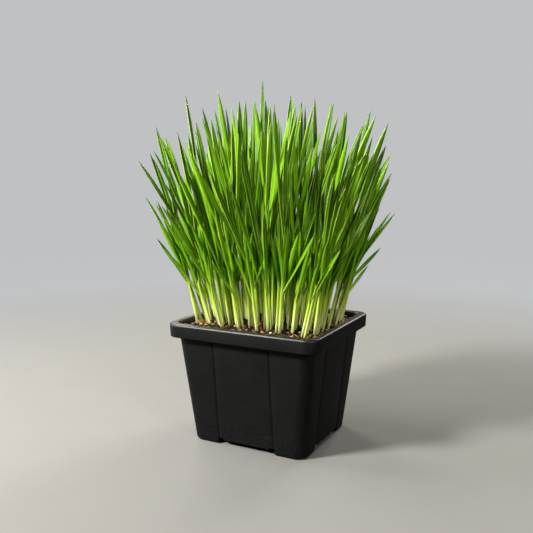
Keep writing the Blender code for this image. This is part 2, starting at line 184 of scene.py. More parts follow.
# Seed husks: how many lie round each plant and how far away, and their sizes
HUSK_SEED = 31
HUSKS = 5
HUSK_PLACES = (1.5 * MM, 4.2 * MM)
HUSK_LIFT = 1.0 * MM
HUSK_SIZES = {
    "Seed": HUSK_SEED,
    "Smallest": 1.1 * MM,
    "Largest": 2.7 * MM,
    "Subdivisions": 1,
    "Lumpiness": 0.5,
    "Slimness": 0.42,
}

# Colours of crumbs, bark and husks, each from its place on a scale of 0 to 1 on, and the flecks
# that all of them have
PEAT_STOPS = (
    (0.0, (8, 6, 5)), (0.4, (14, 10, 7)), (0.7, (24, 16, 11)), (0.88, (42, 28, 18)),
    (0.96, (74, 52, 32)),
)
BARK_STOPS = (
    (0.0, (122, 84, 54)), (0.2, (78, 50, 32)), (0.46, (150, 100, 48)), (0.56, (146, 112, 80)),
    (0.66, (46, 31, 20)), (0.95, (184, 166, 138)),
)
HUSK_STOPS = (
    (0.0, (206, 164, 34)), (0.35, (176, 132, 26)), (0.65, (226, 196, 84)), (0.85, (140, 96, 24)),
)
GRAIN_FINENESS = 1300
FLECK = 0.35
FLECK_SHADE = (0.35, 0.3, 0.27, 1)

# Bunches: their spacing, and the block of roots at the foot of each
COLUMNS = 6
ROWS = 5
PITCH_X = 15.4 * MM
PITCH_Y = 12.8 * MM
ROOT_X = 13.7 * MM
ROOT_Y = 11.1 * MM
ROOT_CHAMFER = 2.2 * MM

# Blades that stand in the mix
PLANTS = 3
LEAVES = 4
BLADE_SEED = 11
PLANT_FROM_EDGE = 2.3 * MM
STEM_SPACING = 1.3 * MM
SPOTS = 12
ROOTED = 5 * MM
STEM_HEIGHT = 28 * MM
LONGEST_STEM = 0.4
STEM_WIDTH = 1.5 * MM
STEM_WIDENING = 1.1
STEM_THICKNESS = 1.1 * MM
ROOT_TAPER = 0.6
BLADE_WIDTHS = (4.1 * MM, 5.9 * MM)
BLADE_THICKNESS = 0.95 * MM
BROADEST = 0.58
SHOULDER = 0.86
SHOULDER_WIDTH = 0.78
SHOULDER_THICKNESS = 0.85

# How the grass stands: heights over the mix, lean at the wall, and how much both vary
TALLEST = 158 * MM
EDGE_DROP = 26 * MM
UNEVENNESS = 32 * MM
SPREAD = 40 * MM
FULL_LEAN = 1.25
LEAN_POWER = 1.25
LEAN_SHARES = (0.62, 1.08)
SPLAYS = (4 * MM, 27 * MM)
SHORT_CHANCE = 0.2
SHORT_CHANCE_AT_EDGE = 0.26
SHORT_SHARES = (0.42, 0.86)
SHORT_LEAN = 0.75
KNEE_OUT = 0.34
KNEE_UP = 0.54
CLEARANCE = 0.4 * MM
TRIES = 90
NEAREST = 12
LOOSE_FACING = 0.25
MOST_TWIST = 1.0
REACH_X = 84 * MM
REACH_Y = 78 * MM
REACH_TOP = 245 * MM
WITHIN_REACH = 3 * MM

# Tips chosen one by one: across and towards the front of the view, and height above the mix
VIEW_TURN = math.radians(27.5)
LISTED_TIPS = (
    (-6, 0, 166), (-57, 5, 155), (-47, -5, 148), (-36, 0, 158), (-26, 12, 146), (-18, -8, 153),
    (2, 8, 150), (13, -5, 157), (22, 10, 147), (29, 0, 154), (41, -6, 152), (50, 6, 145),
    (67, -2, 147), (-79, -6, 136), (-62, 12, 131), (-82, 4, 118), (-88, 12, 112), (-87, -4, 88),
    (-79, 2, 60), (-70, 20, 98), (76, 8, 122), (66, 20, 112), (82, -4, 101), (84, 4, 77),
    (66, 8, 42), (72, -18, 90), (-24, 62, 94), (-5, 66, 82), (12, 60, 108), (34, 58, 99),
    (31, 64, 62), (-44, 52, 104),
)
REACH_HEIGHT = 104 * MM

# The stem of a plant: it holds all its blades, and they part from it one after the other
LEAF_SEED = 23
STEM_WIDTHS = (1.9 * MM, 2.5 * MM)
PARTING_HEIGHTS = (18 * MM, 58 * MM)
HIDDEN_START = 0.05
LEAF_FOOT = 1.2 * MM

# Side leaves: more leaves that part from the stems
SIDE_LEAVES = 4
SIDE_START = 14 * MM
UNDER_STEM_TOP = 8 * MM
SIDE_LENGTHS = (0.36, 0.97)
SIDE_SHORTEST = 38 * MM
SIDE_SPLAYS = (0.03, 0.26)
SIDE_WIDTHS = (2.9 * MM, 4.5 * MM)
SIDE_ROUND = 0.08
SIDE_KNEE = 0.5
SIDE_BOW = 0.3
SIDE_TRIES = 14

# Shoots: a single blade beside each plant, in the same block of roots
SHOOT_SEED = 5
SHOOT_PLACES = (2.4 * MM, 4.4 * MM)
SHOOT_FROM_EDGE = 1.4 * MM
SHOOT_WIDTHS = (1.5 * MM, 2.0 * MM)
SHOOT_PARTINGS = (20 * MM, 46 * MM)


# The finished blade: a tube with a few sides that flattens into a folded leaf
BLADE_ROOT = -0.035
LEAF_WIDENING = 0.8
FOLD_SHARES = (0.5, 1.5)
BLADE_SHAPE = {
    "Sides": 8,
    "Rings": 14,
    "Ring Power": 1.6,
    "Opening": 0.62,
    "Flattening": 0.16,
    "Stem Roundness": 0.92,
    "Leaf Thickness": 0.42 * MM,
    "Fold": 0.3,
    "Tip Length": 38 * MM,
    "Earliest Taper": 0.4,
    "Taper Power": 3.2,
    "Finest Tip": 0.03,
}

# Dew: the drops on each square metre of leaf at the very top, where it starts, and their radii
DEW_SHAPE = {
    "Seed": LEAF_SEED,
    "Density": 14000.0,
    "From Height": 118 * MM,
    "Smallest": 0.18 * MM,
    "Largest": 0.52 * MM,
}

# Colours of the grass, the heights over the mix between which one turns into the next, the
# places of rib and edge across the blade, and how much light passes through it
FOOT_WHITE = (234, 238, 158)
STEM_YELLOW = (202, 224, 84)
STEM_GREEN = (112, 176, 8)
# Painted shade: a darker green laid on the stems' sides where they turn away from the view
STEM_PAINTED_SHADE = (70, 110, 6)
DARK_GREEN = (4, 50, 1)
LIGHT_GREEN = (134, 194, 12)
BLOTCH_GREEN = (84, 152, 4)
# Rib and edge greens: partly the blade's own pale midrib and edges, partly painted highlight
RIB_GREEN_AND_HIGHLIGHT = (142, 206, 36)
EDGE_GREEN_AND_HIGHLIGHT = (206, 238, 84)
TIP_YELLOW = (196, 204, 84)
WHITE_TO_YELLOW = (1 * MM, 22 * MM)
YELLOW_TO_GREEN = (14 * MM, 46 * MM)
STEM_TO_LEAF = (30 * MM, 82 * MM)
# Heights between which the painted shade on the stems' sides fades out
STEM_PAINTED_SHADE_ENDS = (70 * MM, 40 * MM)
VEINS_START = (20 * MM, 60 * MM)
VEINS = 34
# Places across the blade of the light rib and edges, with their painted highlight
RIB = (0.24, 0.06)
EDGE = (0.8, 0.96)
SHINE_THROUGH = (0.62, 0.86, 0.25, 1)
TRANSLUCENCE = 0.27

# How far round the tips turn their flat side to the front, where most light comes from
LIT_SIDE = math.radians(-62)
LIT_TURN = 0.4


@dataclass
class Slot:
    """Room for one blade: its bunch, its foot, which side of its plant it is on, and its tip
    if nothing else is chosen for it."""

    bunch: int
    foot: Vector
    turn: float
    plant: Vector
    tip: Vector


@dataclass
class Blade:
    """One plain blade: its plant, its foot and tip, the point that it bends over as a step from
    its foot, how its flat face lies, and how far up it the stem reaches."""

    plant: Vector
    foot: Vector
    tip: Vector
    knee: Vector
    width: float
    facing: float
    twist: float
    stem: float


@dataclass
class Leaf:
    """A finished blade: where it starts and where it parts from its plant's stem, as shares of
    the blade's length, how that stem leans, and how wide it is at its start."""

    blade: Blade
    start: float
    parting: float
    lean: Vector
    foot_width: float


def linear(value):
    """A colour channel as light, from its value of 0 to 255 on a screen."""
    value /= 255
    return value / 12.92 if value <= 0.04045 else ((value + 0.055) / 1.055) ** 2.4


def colour(shade):
    return (*(linear(part) for part in shade), 1)


def heading(turn):
    return Vector((math.cos(turn), math.sin(turn), 0))


class Value:
    """An output of a node, to reckon with: each sign adds the node that works out the result."""

    def __init__(self, nodes, socket):
        self.nodes = nodes
        self.socket = socket
        self.is_vector = socket.type in ("VECTOR", "RGBA")

    def __add__(self, other):
        return self.nodes.reckoned("ADD", self, other)

    def __sub__(self, other):
        return self.nodes.reckoned("SUBTRACT", self, other)

    def __rsub__(self, other):
        return self.nodes.reckoned("SUBTRACT", other, self)

    def __mul__(self, other):
        return self.nodes.reckoned("MULTIPLY", self, other)

    def __truediv__(self, other):
        return self.nodes.reckoned("DIVIDE", self, other)

    def __pow__(self, other):
        return self.nodes.reckoned("POWER", self, other)


class Nodes:
    """Adds nodes to a tree. A value given to a node is a number, a vector or a Value."""

    def __init__(self, tree):
        self.tree = tree

    def add(self, kind, values=(), **settings):
        node = self.tree.nodes.new(kind)
        for name, setting in settings.items():
            setattr(node, name, setting)
        self.fill(node, values if isinstance(values, dict) else dict(enumerate(values)))
        return node

    def fill(self, node, values):
        """Gives a node the values of its inputs, by their names or numbers."""
        for key, value in values.items():
            if isinstance(value, Value):
                self.tree.links.new(value.socket, node.inputs[key])
            else:
                node.inputs[key].default_value = value

    def out(self, kind, values=(), output=0, **settings):
        """One output of a new node."""
        return Value(self, self.add(kind, values, **settings).outputs[output])

    def maths(self, operation, *values, clamp=False):
        return self.out("ShaderNodeMath", values, operation=operation, use_clamp=clamp)

    def vector(self, operation, *values, output=0):
        return self.out("ShaderNodeVectorMath", values, output, operation=operation)

    def reckoned(self, operation, one, other):
        """Two values under one sign. A vector is multiplied by a number or by parts."""
        if not any(isinstance(value, Value) and value.is_vector for value in (one, other)):
            return self.maths(operation, one, other)
        by_parts = isinstance(other, tuple) or isinstance(other, Value) and other.is_vector
        if operation == "MULTIPLY" and not by_parts:
            values = {"Vector": one, "Scale": other}
            return self.out("ShaderNodeVectorMath", values, operation="SCALE")
        return self.vector(operation, one, other)

    def joined(self, x, y, z):
        return self.out("ShaderNodeCombineXYZ", (x, y, z))

    def split(self, vector):
        return [Value(self, part) for part in self.add("ShaderNodeSeparateXYZ", (vector,)).outputs]

    def ease(self, value, start, end, low=0.0, high=1.0):
        """Low up to start, high from end on, and a smooth step between them."""
        values = (value, start, end, low, high)
        return self.out("ShaderNodeMapRange", values, interpolation_type="SMOOTHSTEP")

    def ramp(self, value, low, high):
        """Value from 0 to 1 stretched to the range from low to high."""
        return self.out("ShaderNodeMapRange", (value, 0, 1, low, high))

    def mixed(self, share, one, other, blend="MIX"):
        """Two colours mixed, or the second laid over the first by a blend mode."""
        values = {0: share, 6: one, 7: other}
        return self.out("ShaderNodeMix", values, 2, data_type="RGBA", blend_type=blend)

    def layered(self, base, *layers):
        """A colour with others laid over it, each as far as its share says."""
        for share, shade in layers:
            base = self.mixed(share, base, shade)
        return base

    def noise(self, place, scale, detail=2.0, roughness=0.5):
        values = {"Vector": place, "Scale": scale, "Detail": detail, "Roughness": roughness}
        return self.out("ShaderNodeTexNoise", values, "Fac")

    def random(self, low, high, seed, kind="FLOAT"):
        sort = ("FLOAT_VECTOR", "FLOAT", "INT").index(kind)
        values = {2 * sort: low, 2 * sort + 1: high, "Seed": seed}
        return self.out("FunctionNodeRandomValue", values, sort, data_type=kind)

    def stored(self, geometry, name, value, kind="FLOAT_VECTOR", domain="POINT"):
        values = {"Geometry": geometry, "Name": name, "Value": value}
        kinds = {"data_type": kind, "domain": domain}
        return self.out("GeometryNodeStoreNamedAttribute", values, **kinds)

    def named(self, names, kind="FLOAT_VECTOR"):
        """The attributes with these names, in a tree of Geometry Nodes."""
        node = "GeometryNodeInputNamedAttribute"
        return [self.out(node, {"Name": name}, data_type=kind) for name in names.split()]

    def attribute(self, name, output):
        """A piece's attribute, in a material."""
        return self.out("ShaderNodeAttribute", output=output, attribute_name=name)

    def object_place(self):
        return self.out("ShaderNodeTexCoord", output="Object")

    def bump(self, height, distance, strength=1.0):
        values = {"Height": height, "Distance": distance, "Strength": strength}
        return self.out("ShaderNodeBump", values)


def add_sockets(tree, way, kinds):
    for label, kind in kinds.items():
        tree.interface.new_socket(label, in_out=way, socket_type="NodeSocket" + kind)


def new_tree(name, sizes):
    """A Geometry Nodes tree with an input for each of the sizes. It gives the tree, its nodes
    and its inputs."""
    tree = bpy.data.node_groups.new(name, "GeometryNodeTree")
    tree.is_modifier = True
    kinds = {int: "Int", float: "Float", bpy.types.Material: "Material"}
    add_sockets(tree, "OUTPUT", {"Geometry": "Geometry"})
    add_sockets(tree, "INPUT", {"Geometry": "Geometry"})
    add_sockets(tree, "INPUT", {label: kinds[type(size)] for label, size in sizes.items()})
    nodes = Nodes(tree)
    inputs = nodes.add("NodeGroupInput").outputs
    return tree, nodes, {socket.name: Value(nodes, socket) for socket in inputs}


def end_tree(nodes, geometry, material):
    """Every tree ends with real geometry in its material."""
    real = nodes.out("GeometryNodeRealizeInstances", {"Geometry": geometry})
    finish = nodes.out("GeometryNodeSetMaterial", {"Geometry": real, "Material": material})
    nodes.add("NodeGroupOutput", (finish,))


def applied(obj):
    """The mesh that an object's modifiers make of it. They are removed."""
    graph = bpy.context.evaluated_depsgraph_get()
    mesh = bpy.data.meshes.new_from_object(obj.evaluated_get(graph))
    obj.modifiers.clear()
    return mesh


def add_object(name, data, collection=None):
    obj = bpy.data.objects.new(name, data)
    (collection or bpy.context.scene.collection).objects.link(obj)
    return obj


def shaped(name, mesh, tree, sizes, kept=()):
    """The object that a tree makes from a mesh, as a plain mesh with only the kept attributes."""
    obj = add_object(name, mesh)
    modifier = obj.modifiers.new("shape", "NODES")
    modifier.node_group = tree
    for item in tree.interface.items_tree:
        if item.in_out == "INPUT" and item.name in sizes:
            modifier[item.identifier] = sizes[item.name]
    obj.data = applied(obj)
    obj.data.name = name
    for label in [layer.name for layer in obj.data.attributes]:
        layer = obj.data.attributes[label]
        if layer.data_type in ("FLOAT", "FLOAT_VECTOR") and not layer.is_required:
            if label not in kept:
                obj.data.attributes.remove(layer)
    return obj


def mesh_of(name, shape):
    """The mesh that the bmesh holds, which is freed."""
    mesh = bpy.data.meshes.new(name)
    shape.to_mesh(mesh)
    shape.free()
    return mesh


def make_object(name, shape, collection=None):
    return add_object(name, mesh_of(name, shape), collection)


def skin(shape, rings):
    """Joins rings of as many points with quads and gives the rows of corners."""
    rows = [[shape.verts.new(point) for point in ring] for ring in rings]
    count = len(rows[0])
    for lower, upper in zip(rows, rows[1:]):
        for i in range(count):
            j = (i + 1) % count
            shape.faces.new((lower[i], lower[j], upper[j], upper[i]))
    return rows


def loft(shape, rings):
    """Joins rings with quads and closes the first and the last."""
    rows = skin(shape, rings)
    shape.faces.new(list(reversed(rows[0])))
    shape.faces.new(rows[-1])
    bmesh.ops.recalc_face_normals(shape, faces=shape.faces)


def place_on_root(piece, slot, *nodes):
    """The piece goes with the one body and stands for the nodes. The slot is not used."""
    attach(piece, "root")
    if nodes:
        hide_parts(*nodes)


# Pot


def on_side(x, y, side):
    """A point of the front side, taken to another side by quarter turns."""
    turn = side * math.pi / 2
    return x * math.cos(turn) - y * math.sin(turn), x * math.sin(turn) + y * math.cos(turn)


def outline(half_x, half_y, radius, groove):
    """A rounded rectangle, anticlockwise, with two grooves pressed into each side."""
    points = []
    for side in range(4):
        along, across = (half_x, half_y) if side % 2 == 0 else (half_y, half_x)
        rim_half = (RIM_LENGTH if side % 2 == 0 else RIM_DEPTH) / 2
        local = []
        for centre in (-GROOVE_SHARE * rim_half, GROOVE_SHARE * rim_half):
            for step, depth in GROOVE_PROFILE:
                local.append((centre + step * GROOVE_WIDTH, -across + depth * groove))
        for step in range(CORNER_STEPS + 1):
            angle = -math.pi / 2 + step / CORNER_STEPS * math.pi / 2
            x = along - radius + radius * math.cos(angle)
            y = -across + radius + radius * math.sin(angle)
            local.append((x, y))
        points += [on_side(x, y, side) for x, y in local]
    return points


def wall_inset(height):
    """How far the tapering wall stands in from the rim's outer edge."""
    return WALL_INSET_BOTTOM + (WALL_INSET_TOP - WALL_INSET_BOTTOM) * height / POT_HEIGHT


def pot_ring(height, inset, radius, groove=0.0):
    ring = outline(RIM_LENGTH / 2 - inset, RIM_DEPTH / 2 - inset, radius, groove)
    return [(x, y, height) for x, y in ring]


def quarter_round(radius):
    """A quarter circle from its foot to its side, as steps along and up."""
    angles = [math.pi / 2 * step / ROUND_STEPS for step in range(ROUND_STEPS + 1)]
    return [(radius * (1 - math.sin(a)), radius * (1 - math.cos(a))) for a in angles]


def pot_section():
    """The rings of the pot, from under the foot, over the rim and down to the floor inside."""
    flange = POT_HEIGHT - BAND_WALL
    band = POT_HEIGHT - BAND_HEIGHT
    lip = wall_inset(flange) + WALL
    inside = RIM_CORNER - BAND_WALL
    inner_corner = WALL_CORNER - WALL
    rows = []
    for along, up in quarter_round(FOOT_ROUNDING):
        rows.append((up, wall_inset(up) + along, WALL_CORNER - along, GROOVE_DEPTH))
    for height in (band * 0.25, band * 0.5, band * 0.75, flange):
        rows.append((height, wall_inset(height), WALL_CORNER, GROOVE_DEPTH))
    rows.append((flange, BAND_WALL, inside, 0))
    rows.append((band, BAND_WALL + BAND_DRAFT, inside, 0))
    for along, up in quarter_round(BAND_EDGE):
        rows.append((band + up, BAND_DRAFT + along, RIM_CORNER - along, 0))
    for along, up in reversed(quarter_round(RIM_ROUNDING)):
        rows.append((POT_HEIGHT - up, along, RIM_CORNER - along, 0))
    for along, up in quarter_round(LIP_ROUNDING):
        rows.append((POT_HEIGHT - up, lip - along, inner_corner + along, 0))
    for along, up in reversed(quarter_round(INNER_ROUNDING)):
        height = FLOOR_TOP + up
        rows.append((height, wall_inset(height) + WALL + along, inner_corner - along, 0))
    return [pot_ring(*row) for row in rows]


def add_prism(points, height, cutters, centre=(0, 0)):
    """An upright cutter that comes up from under the pot."""
    shape = bmesh.new()
    rings = [[(centre[0] + x, centre[1] + y, z) for x, y in points] for z in (-CUT_PAST, height)]
    loft(shape, rings)
    make_object("cutter", shape, cutters)


def chamfered(half_x, half_y, cut):
    """A rectangle with its corners cut off, anticlockwise."""
    return [
        (half_x, -half_y + cut),
        (half_x, half_y - cut),
        (half_x - cut, half_y),
        (-half_x + cut, half_y),
        (-half_x, half_y - cut),
        (-half_x, -half_y + cut),
        (-half_x + cut, -half_y),
        (half_x - cut, -half_y),
    ]


def cut_underside(pot):
    """Cuts the cross between the four feet, their pockets, the notches and the drain holes."""
    cutters = bpy.data.collections.new("pot cutters")
    bpy.context.scene.collection.children.link(cutters)
    arm_x = GROOVE_SHARE * RIM_LENGTH / 2
    arm_y = GROOVE_SHARE * RIM_DEPTH / 2
    cross = []
    for x, y in ((1, -1), (1, 1), (-1, 1), (-1, -1)):
        ends = [(x * arm_x, y * RIM_DEPTH), (x * arm_x, y * arm_y), (x * RIM_LENGTH, y * arm_y)]
        cross += ends if x * y < 0 else reversed(ends)
    add_prism(cross, FOOT_HEIGHT, cutters)
    wall_x = RIM_LENGTH / 2 - wall_inset(0)
    wall_y = RIM_DEPTH / 2 - wall_inset(0)
    pocket_x = (wall_x - POCKET_FROM_WALL - arm_x - POCKET_FROM_RECESS) / 2
    pocket_y = (wall_y - POCKET_FROM_WALL - arm_y - POCKET_FROM_RECESS) / 2
    pocket = chamfered(pocket_x, pocket_y, POCKET_CORNER)
    notch = chamfered(NOTCH_WIDTH / 2, NOTCH_WIDTH / 2, NOTCH_CHAMFER)
    for x, y in ((-1, -1), (-1, 1), (1, -1), (1, 1)):
        middle = (
            x * (arm_x + POCKET_FROM_RECESS + pocket_x),
            y * (arm_y + POCKET_FROM_RECESS + pocket_y),
        )
        add_prism(pocket, FOOT_HEIGHT, cutters, middle)
        add_prism(notch, NOTCH_HEIGHT, cutters, (x * (arm_x - NOTCH_SHIFT), y * wall_y))
        add_prism(notch, NOTCH_HEIGHT, cutters, (x * wall_x, y * (arm_y - NOTCH_SHIFT)))
    turns = [2 * math.pi * i / DRAIN_SIDES for i in range(DRAIN_SIDES)]
    drain = [(DRAIN_RADIUS * math.cos(t), DRAIN_RADIUS * math.sin(t)) for t in turns]
    for centre in ((0, 0), (DRAIN_X, 0), (-DRAIN_X, 0), (0, DRAIN_Y), (0, -DRAIN_Y)):
        add_prism(drain, FLOOR_TOP + CUT_PAST, cutters, centre)
    modifier = pot.modifiers.new("cut", "BOOLEAN")
    modifier.operation = "DIFFERENCE"
    modifier.operand_type = "COLLECTION"
    modifier.collection = cutters
    pot.data = applied(pot)
    for cutter in list(cutters.objects):
        bpy.data.objects.remove(cutter)
    bpy.data.collections.remove(cutters)


def new_material(name):
    """It gives the material, its nodes and its shader."""
    material = bpy.data.materials.new(name)
    material.use_nodes = True
    return material, Nodes(material.node_tree), material.node_tree.nodes["Principled BSDF"]


def black_plastic():
    """Satin moulded plastic with a fine grain, and faint dust at the foot."""
    material, nodes, shader = new_material("black plastic")
    place = nodes.object_place()
    cloud = nodes.noise(place, 55, 4, 0.6)
    low = nodes.ease(nodes.split(place)[2], 0.03, 0.0)
    dust = nodes.ease(nodes.noise(place, 900), 0.56, 0.68) * nodes.ramp(low, 0.02, 0.12)
    base = nodes.mixed(cloud, *PLASTIC_SHADES)
    values = {
        "Base Color": nodes.mixed(dust, base, DUST_SHADE),
        "Specular IOR Level": 0.3,
        "Roughness": nodes.ramp(cloud, 0.34, 0.5) + dust * 0.4,
        "Normal": nodes.bump(nodes.noise(place, 1300, 3, 0.7), 0.12 * MM, 0.8),
    }
    nodes.fill(shader, values)
    return material


def build_pot():
    shape = bmesh.new()
    loft(shape, pot_section())
    pot = make_object("nursery_pot", shape)
    cut_underside(pot)
    pot.data.shade_smooth()
    pot.data.set_sharp_from_angle(angle=SHARP_ANGLE)
    pot.data.materials.clear()
    pot.data.materials.append(black_plastic())
    place_on_root(pot, "pot", "pot")


# Growing mix


def even_ring(half_x, half_y, radius, count, height):
    """Points spaced evenly round a rounded rectangle."""
    arc = math.pi / 2 * radius
    lengths = (2 * (half_y - radius), arc, 2 * (half_x - radius), arc) * 2
    total = sum(lengths)
    ring = []
    for i in range(count):
        left = total * i / count
        stretch = 0
        while left > lengths[stretch]:
            left -= lengths[stretch]
            stretch += 1
        side, round_corner = divmod(stretch, 2)
        along, across = (half_x, half_y) if side % 2 == 0 else (half_y, half_x)
        x, y = along, -(across - radius) + left
        if round_corner:
            x = along - radius + radius * math.cos(left / radius)
            y = across - radius + radius * math.sin(left / radius)
        ring.append((*on_side(x, y, side), height))
    return ring


def soil_ring(height, extra_inset, radius):
    inset = wall_inset(height) + WALL + SOIL_GAP + extra_inset
    half_x = RIM_LENGTH / 2 - inset
    half_y = RIM_DEPTH / 2 - inset
    return even_ring(half_x, half_y, radius, SOIL_POINTS, height)


def soil_height(x, y, share):
    """The lumpy top of the mix, which dips a little towards the wall."""
    lumps = noise.noise(Vector((x * LUMPS_SCALE, y * LUMPS_SCALE, 3)))
    grit = noise.noise(Vector((x * GRIT_SCALE, y * GRIT_SCALE, 9)))
    return SOIL_TOP + SOIL_LUMPS * lumps + SOIL_GRIT * grit - SOIL_DIP * share**6


def soil_surface(outer_share):
    """Rings of the lumpy top, from outer_share of the way to the wall in to the middle."""
    corner = WALL_CORNER - WALL - SOIL_GAP
    wall = soil_ring(SOIL_TOP, 0, corner)
    rings = []
    for step in range(SOIL_RINGS + 1):
        share = outer_share + (SOIL_MIDDLE - outer_share) * step / SOIL_RINGS
        places = [(x * share, y * share) for x, y, _ in wall]
        rings.append([(x, y, soil_height(x, y, share)) for x, y in places])
    return rings


def growing_mix():
    """Dark crumbly peat under the loose chips."""
    material, nodes, shader = new_material("growing mix")
    place = nodes.object_place()
    lumps = nodes.noise(place, 420, 5, 0.65)
    flecks = nodes.noise(place, 1500, 3, 0.7)
    dark, light, fleck = (colour(shade) for shade in MIX_SHADES)
    peat = nodes.mixed(nodes.ease(lumps, 0.35, 0.65), dark, light)
    values = {
        "Base Color": nodes.mixed(nodes.ease(flecks, 0.62, 0.72), peat, fleck),
        "Specular IOR Level": 0.1,
        "Roughness": 0.92,
        "Normal": nodes.bump(lumps, 0.8 * MM),
    }
    nodes.fill(shader, values)
    return material


def build_soil():
    corner = WALL_CORNER - WALL - SOIL_GAP
    bottom = FLOOR_TOP + SOIL_GAP
    rings = [
        soil_ring(bottom, INNER_ROUNDING, corner - INNER_ROUNDING),
        soil_ring(bottom + INNER_ROUNDING, 0, corner),
    ]
    rings += soil_surface(1)
    shape = bmesh.new()
    loft(shape, rings)
    soil = make_object("growing_mix", shape)
    soil.data.shade_smooth()
    soil.data.materials.append(growing_mix())
    place_on_root(soil, "soil", "soil")


def chip_shapes(nodes, given):
    """A few differently lumpy chips, as instances to pick from."""
    picks = nodes.add("GeometryNodeGeometryToInstance")
    for kind in range(CHIP_KINDS):
        values = {"Radius": 0.5, "Subdivisions": given["Subdivisions"]}
        ball = nodes.out("GeometryNodeMeshIcoSphere", values)
        place = nodes.out("GeometryNodeInputPosition")
        values = {"Vector": place, "W": kind * CHIP_UNLIKENESS, "Scale": CHIP_LUMPS}
        lumps = nodes.out("ShaderNodeTexNoise", values, "Color", noise_dimensions="4D")
        offset = (lumps - (0.5, 0.5, 0.5)) * given["Lumpiness"]
        moved = nodes.out("GeometryNodeSetPosition", {"Geometry": ball, "Offset": offset})
        smooth = nodes.out("GeometryNodeSetShadeSmooth", {"Geometry": moved})
        length = CHIP_LENGTH - CHIP_SHORTENING * kind
        thickness = CHIP_THICKNESS + CHIP_THICKENING * (kind % 3)
        scale = nodes.joined(length, given["Slimness"], thickness)
        chip = nodes.out("GeometryNodeTransform", {"Geometry": smooth, "Scale": scale})
        nodes.fill(picks, {0: chip})
    return Value(nodes, picks.outputs[0])


def chips_on(nodes, given, points):
    """A turned chip of its own size and tint on each point, as the end of a tree."""
    values = {
        "Points": points,
        "Instance": chip_shapes(nodes, given),
        "Pick Instance": True,
        "Instance Index": nodes.random(0, CHIP_KINDS - 1, 3, "INT"),
        "Rotation": nodes.random(*CHIP_TURNS, 2, "FLOAT_VECTOR"),
        "Scale": nodes.random(given["Smallest"], given["Largest"], given["Seed"]),
    }
    chips = nodes.out("GeometryNodeInstanceOnPoints", values)
    chips = nodes.stored(chips, "tint", nodes.random(0.0, 1.0, 4), "FLOAT", "INSTANCE")
    end_tree(nodes, chips, given["Material"])


def chips_tree(sizes):
    """Chips scattered over a surface with a least distance between them."""
    tree, nodes, given = new_tree("chips on a surface", sizes)
    values = {
        "Mesh": given["Geometry"],
        "Distance Min": given["Spacing"],
        "Seed": given["Seed"],
        "Density Max": MOST_CHIPS,
    }
    kind = "GeometryNodeDistributePointsOnFaces"
    spread = nodes.out(kind, values, "Points", distribute_method="POISSON")
    values = {"Geometry": spread, "Offset": nodes.joined(0, 0, given["Lift"])}
    chips_on(nodes, given, nodes.out("GeometryNodeSetPosition", values))
    return tree


def husks_tree(sizes):
    """A chip on each point that it is given."""
    tree, nodes, given = new_tree("chips on points", sizes)
    chips_on(nodes, given, given["Geometry"])
    return tree


def mottling():
    """The effect that crumbs, chips and husks share: a fine grain with darker flecks."""
    tree = bpy.data.node_groups.new("mottled grain", "ShaderNodeTree")
    kinds = {"Place": "Vector", "Colour": "Color", "Fineness": "Float", "Fleck": "Float"}
    add_sockets(tree, "INPUT", kinds)
    add_sockets(tree, "OUTPUT", {"Colour": "Color", "Height": "Float"})
    nodes = Nodes(tree)
    inputs = nodes.add("NodeGroupInput").outputs
    place, base, fineness, fleck = (Value(nodes, socket) for socket in list(inputs)[:4])
    grain = nodes.noise(place, fineness, 4, 0.65)
    dark = nodes.mixed(1.0, base, FLECK_SHADE, "MULTIPLY")
    share = nodes.ease(grain, 0.4, 0.7) * fleck
    nodes.add("NodeGroupOutput", (nodes.mixed(share, base, dark), grain))
    return tree


def chip_material(name, stops, roughness, mottled):
    """Each chip takes its own colour from the stops, with a mottled, slightly darker grain."""
    material, nodes, shader = new_material(name)
    ramp = nodes.add("ShaderNodeValToRGB", (nodes.attribute("tint", "Fac"),))
    ramp.color_ramp.interpolation = "CONSTANT"
    marks = ramp.color_ramp.elements
    while len(marks) < len(stops):
        marks.new(0.5)
    for mark, (position, shade) in zip(marks, stops):
        mark.position = position
        mark.color = colour(shade)
    values = {
        "Place": nodes.object_place(),
        "Colour": Value(nodes, ramp.outputs[0]),
        "Fineness": GRAIN_FINENESS,
        "Fleck": FLECK,
    }
    shown, grain = nodes.add("ShaderNodeGroup", values, node_tree=mottled).outputs
    values = {
        "Base Color": Value(nodes, shown),
        "Specular IOR Level": 0.2,
        "Roughness": roughness,
        "Normal": nodes.bump(Value(nodes, grain), 0.5 * MM),
    }
    nodes.fill(shader, values)
    return material


def scatter_surface():
    """The part of the mix's top that loose chips lie on."""
    shape = bmesh.new()
    skin(shape, soil_surface(SCATTER_SHARE))
    return mesh_of("scatter surface", shape)


def build_chips(mottled):
    """Dark crumbs all over the mix, and the paler bark chips and grit among them."""
    finishes = {
        "peat": chip_material("dark crumbs", PEAT_STOPS, 0.85, mottled),
        "bark": chip_material("bark chips", BARK_STOPS, 0.6, mottled),
    }
    tree = None
    for name, (finish, *numbers) in CHIPS.items():
        sizes = dict(zip(CHIP_INPUTS, numbers))
        sizes |= {"Slimness": CHIP_SLIMNESS, "Material": finishes[finish]}
        tree = tree or chips_tree(sizes)
        chips = shaped(name, scatter_surface(), tree, sizes, ("tint",))
        place_on_root(chips, "soil")


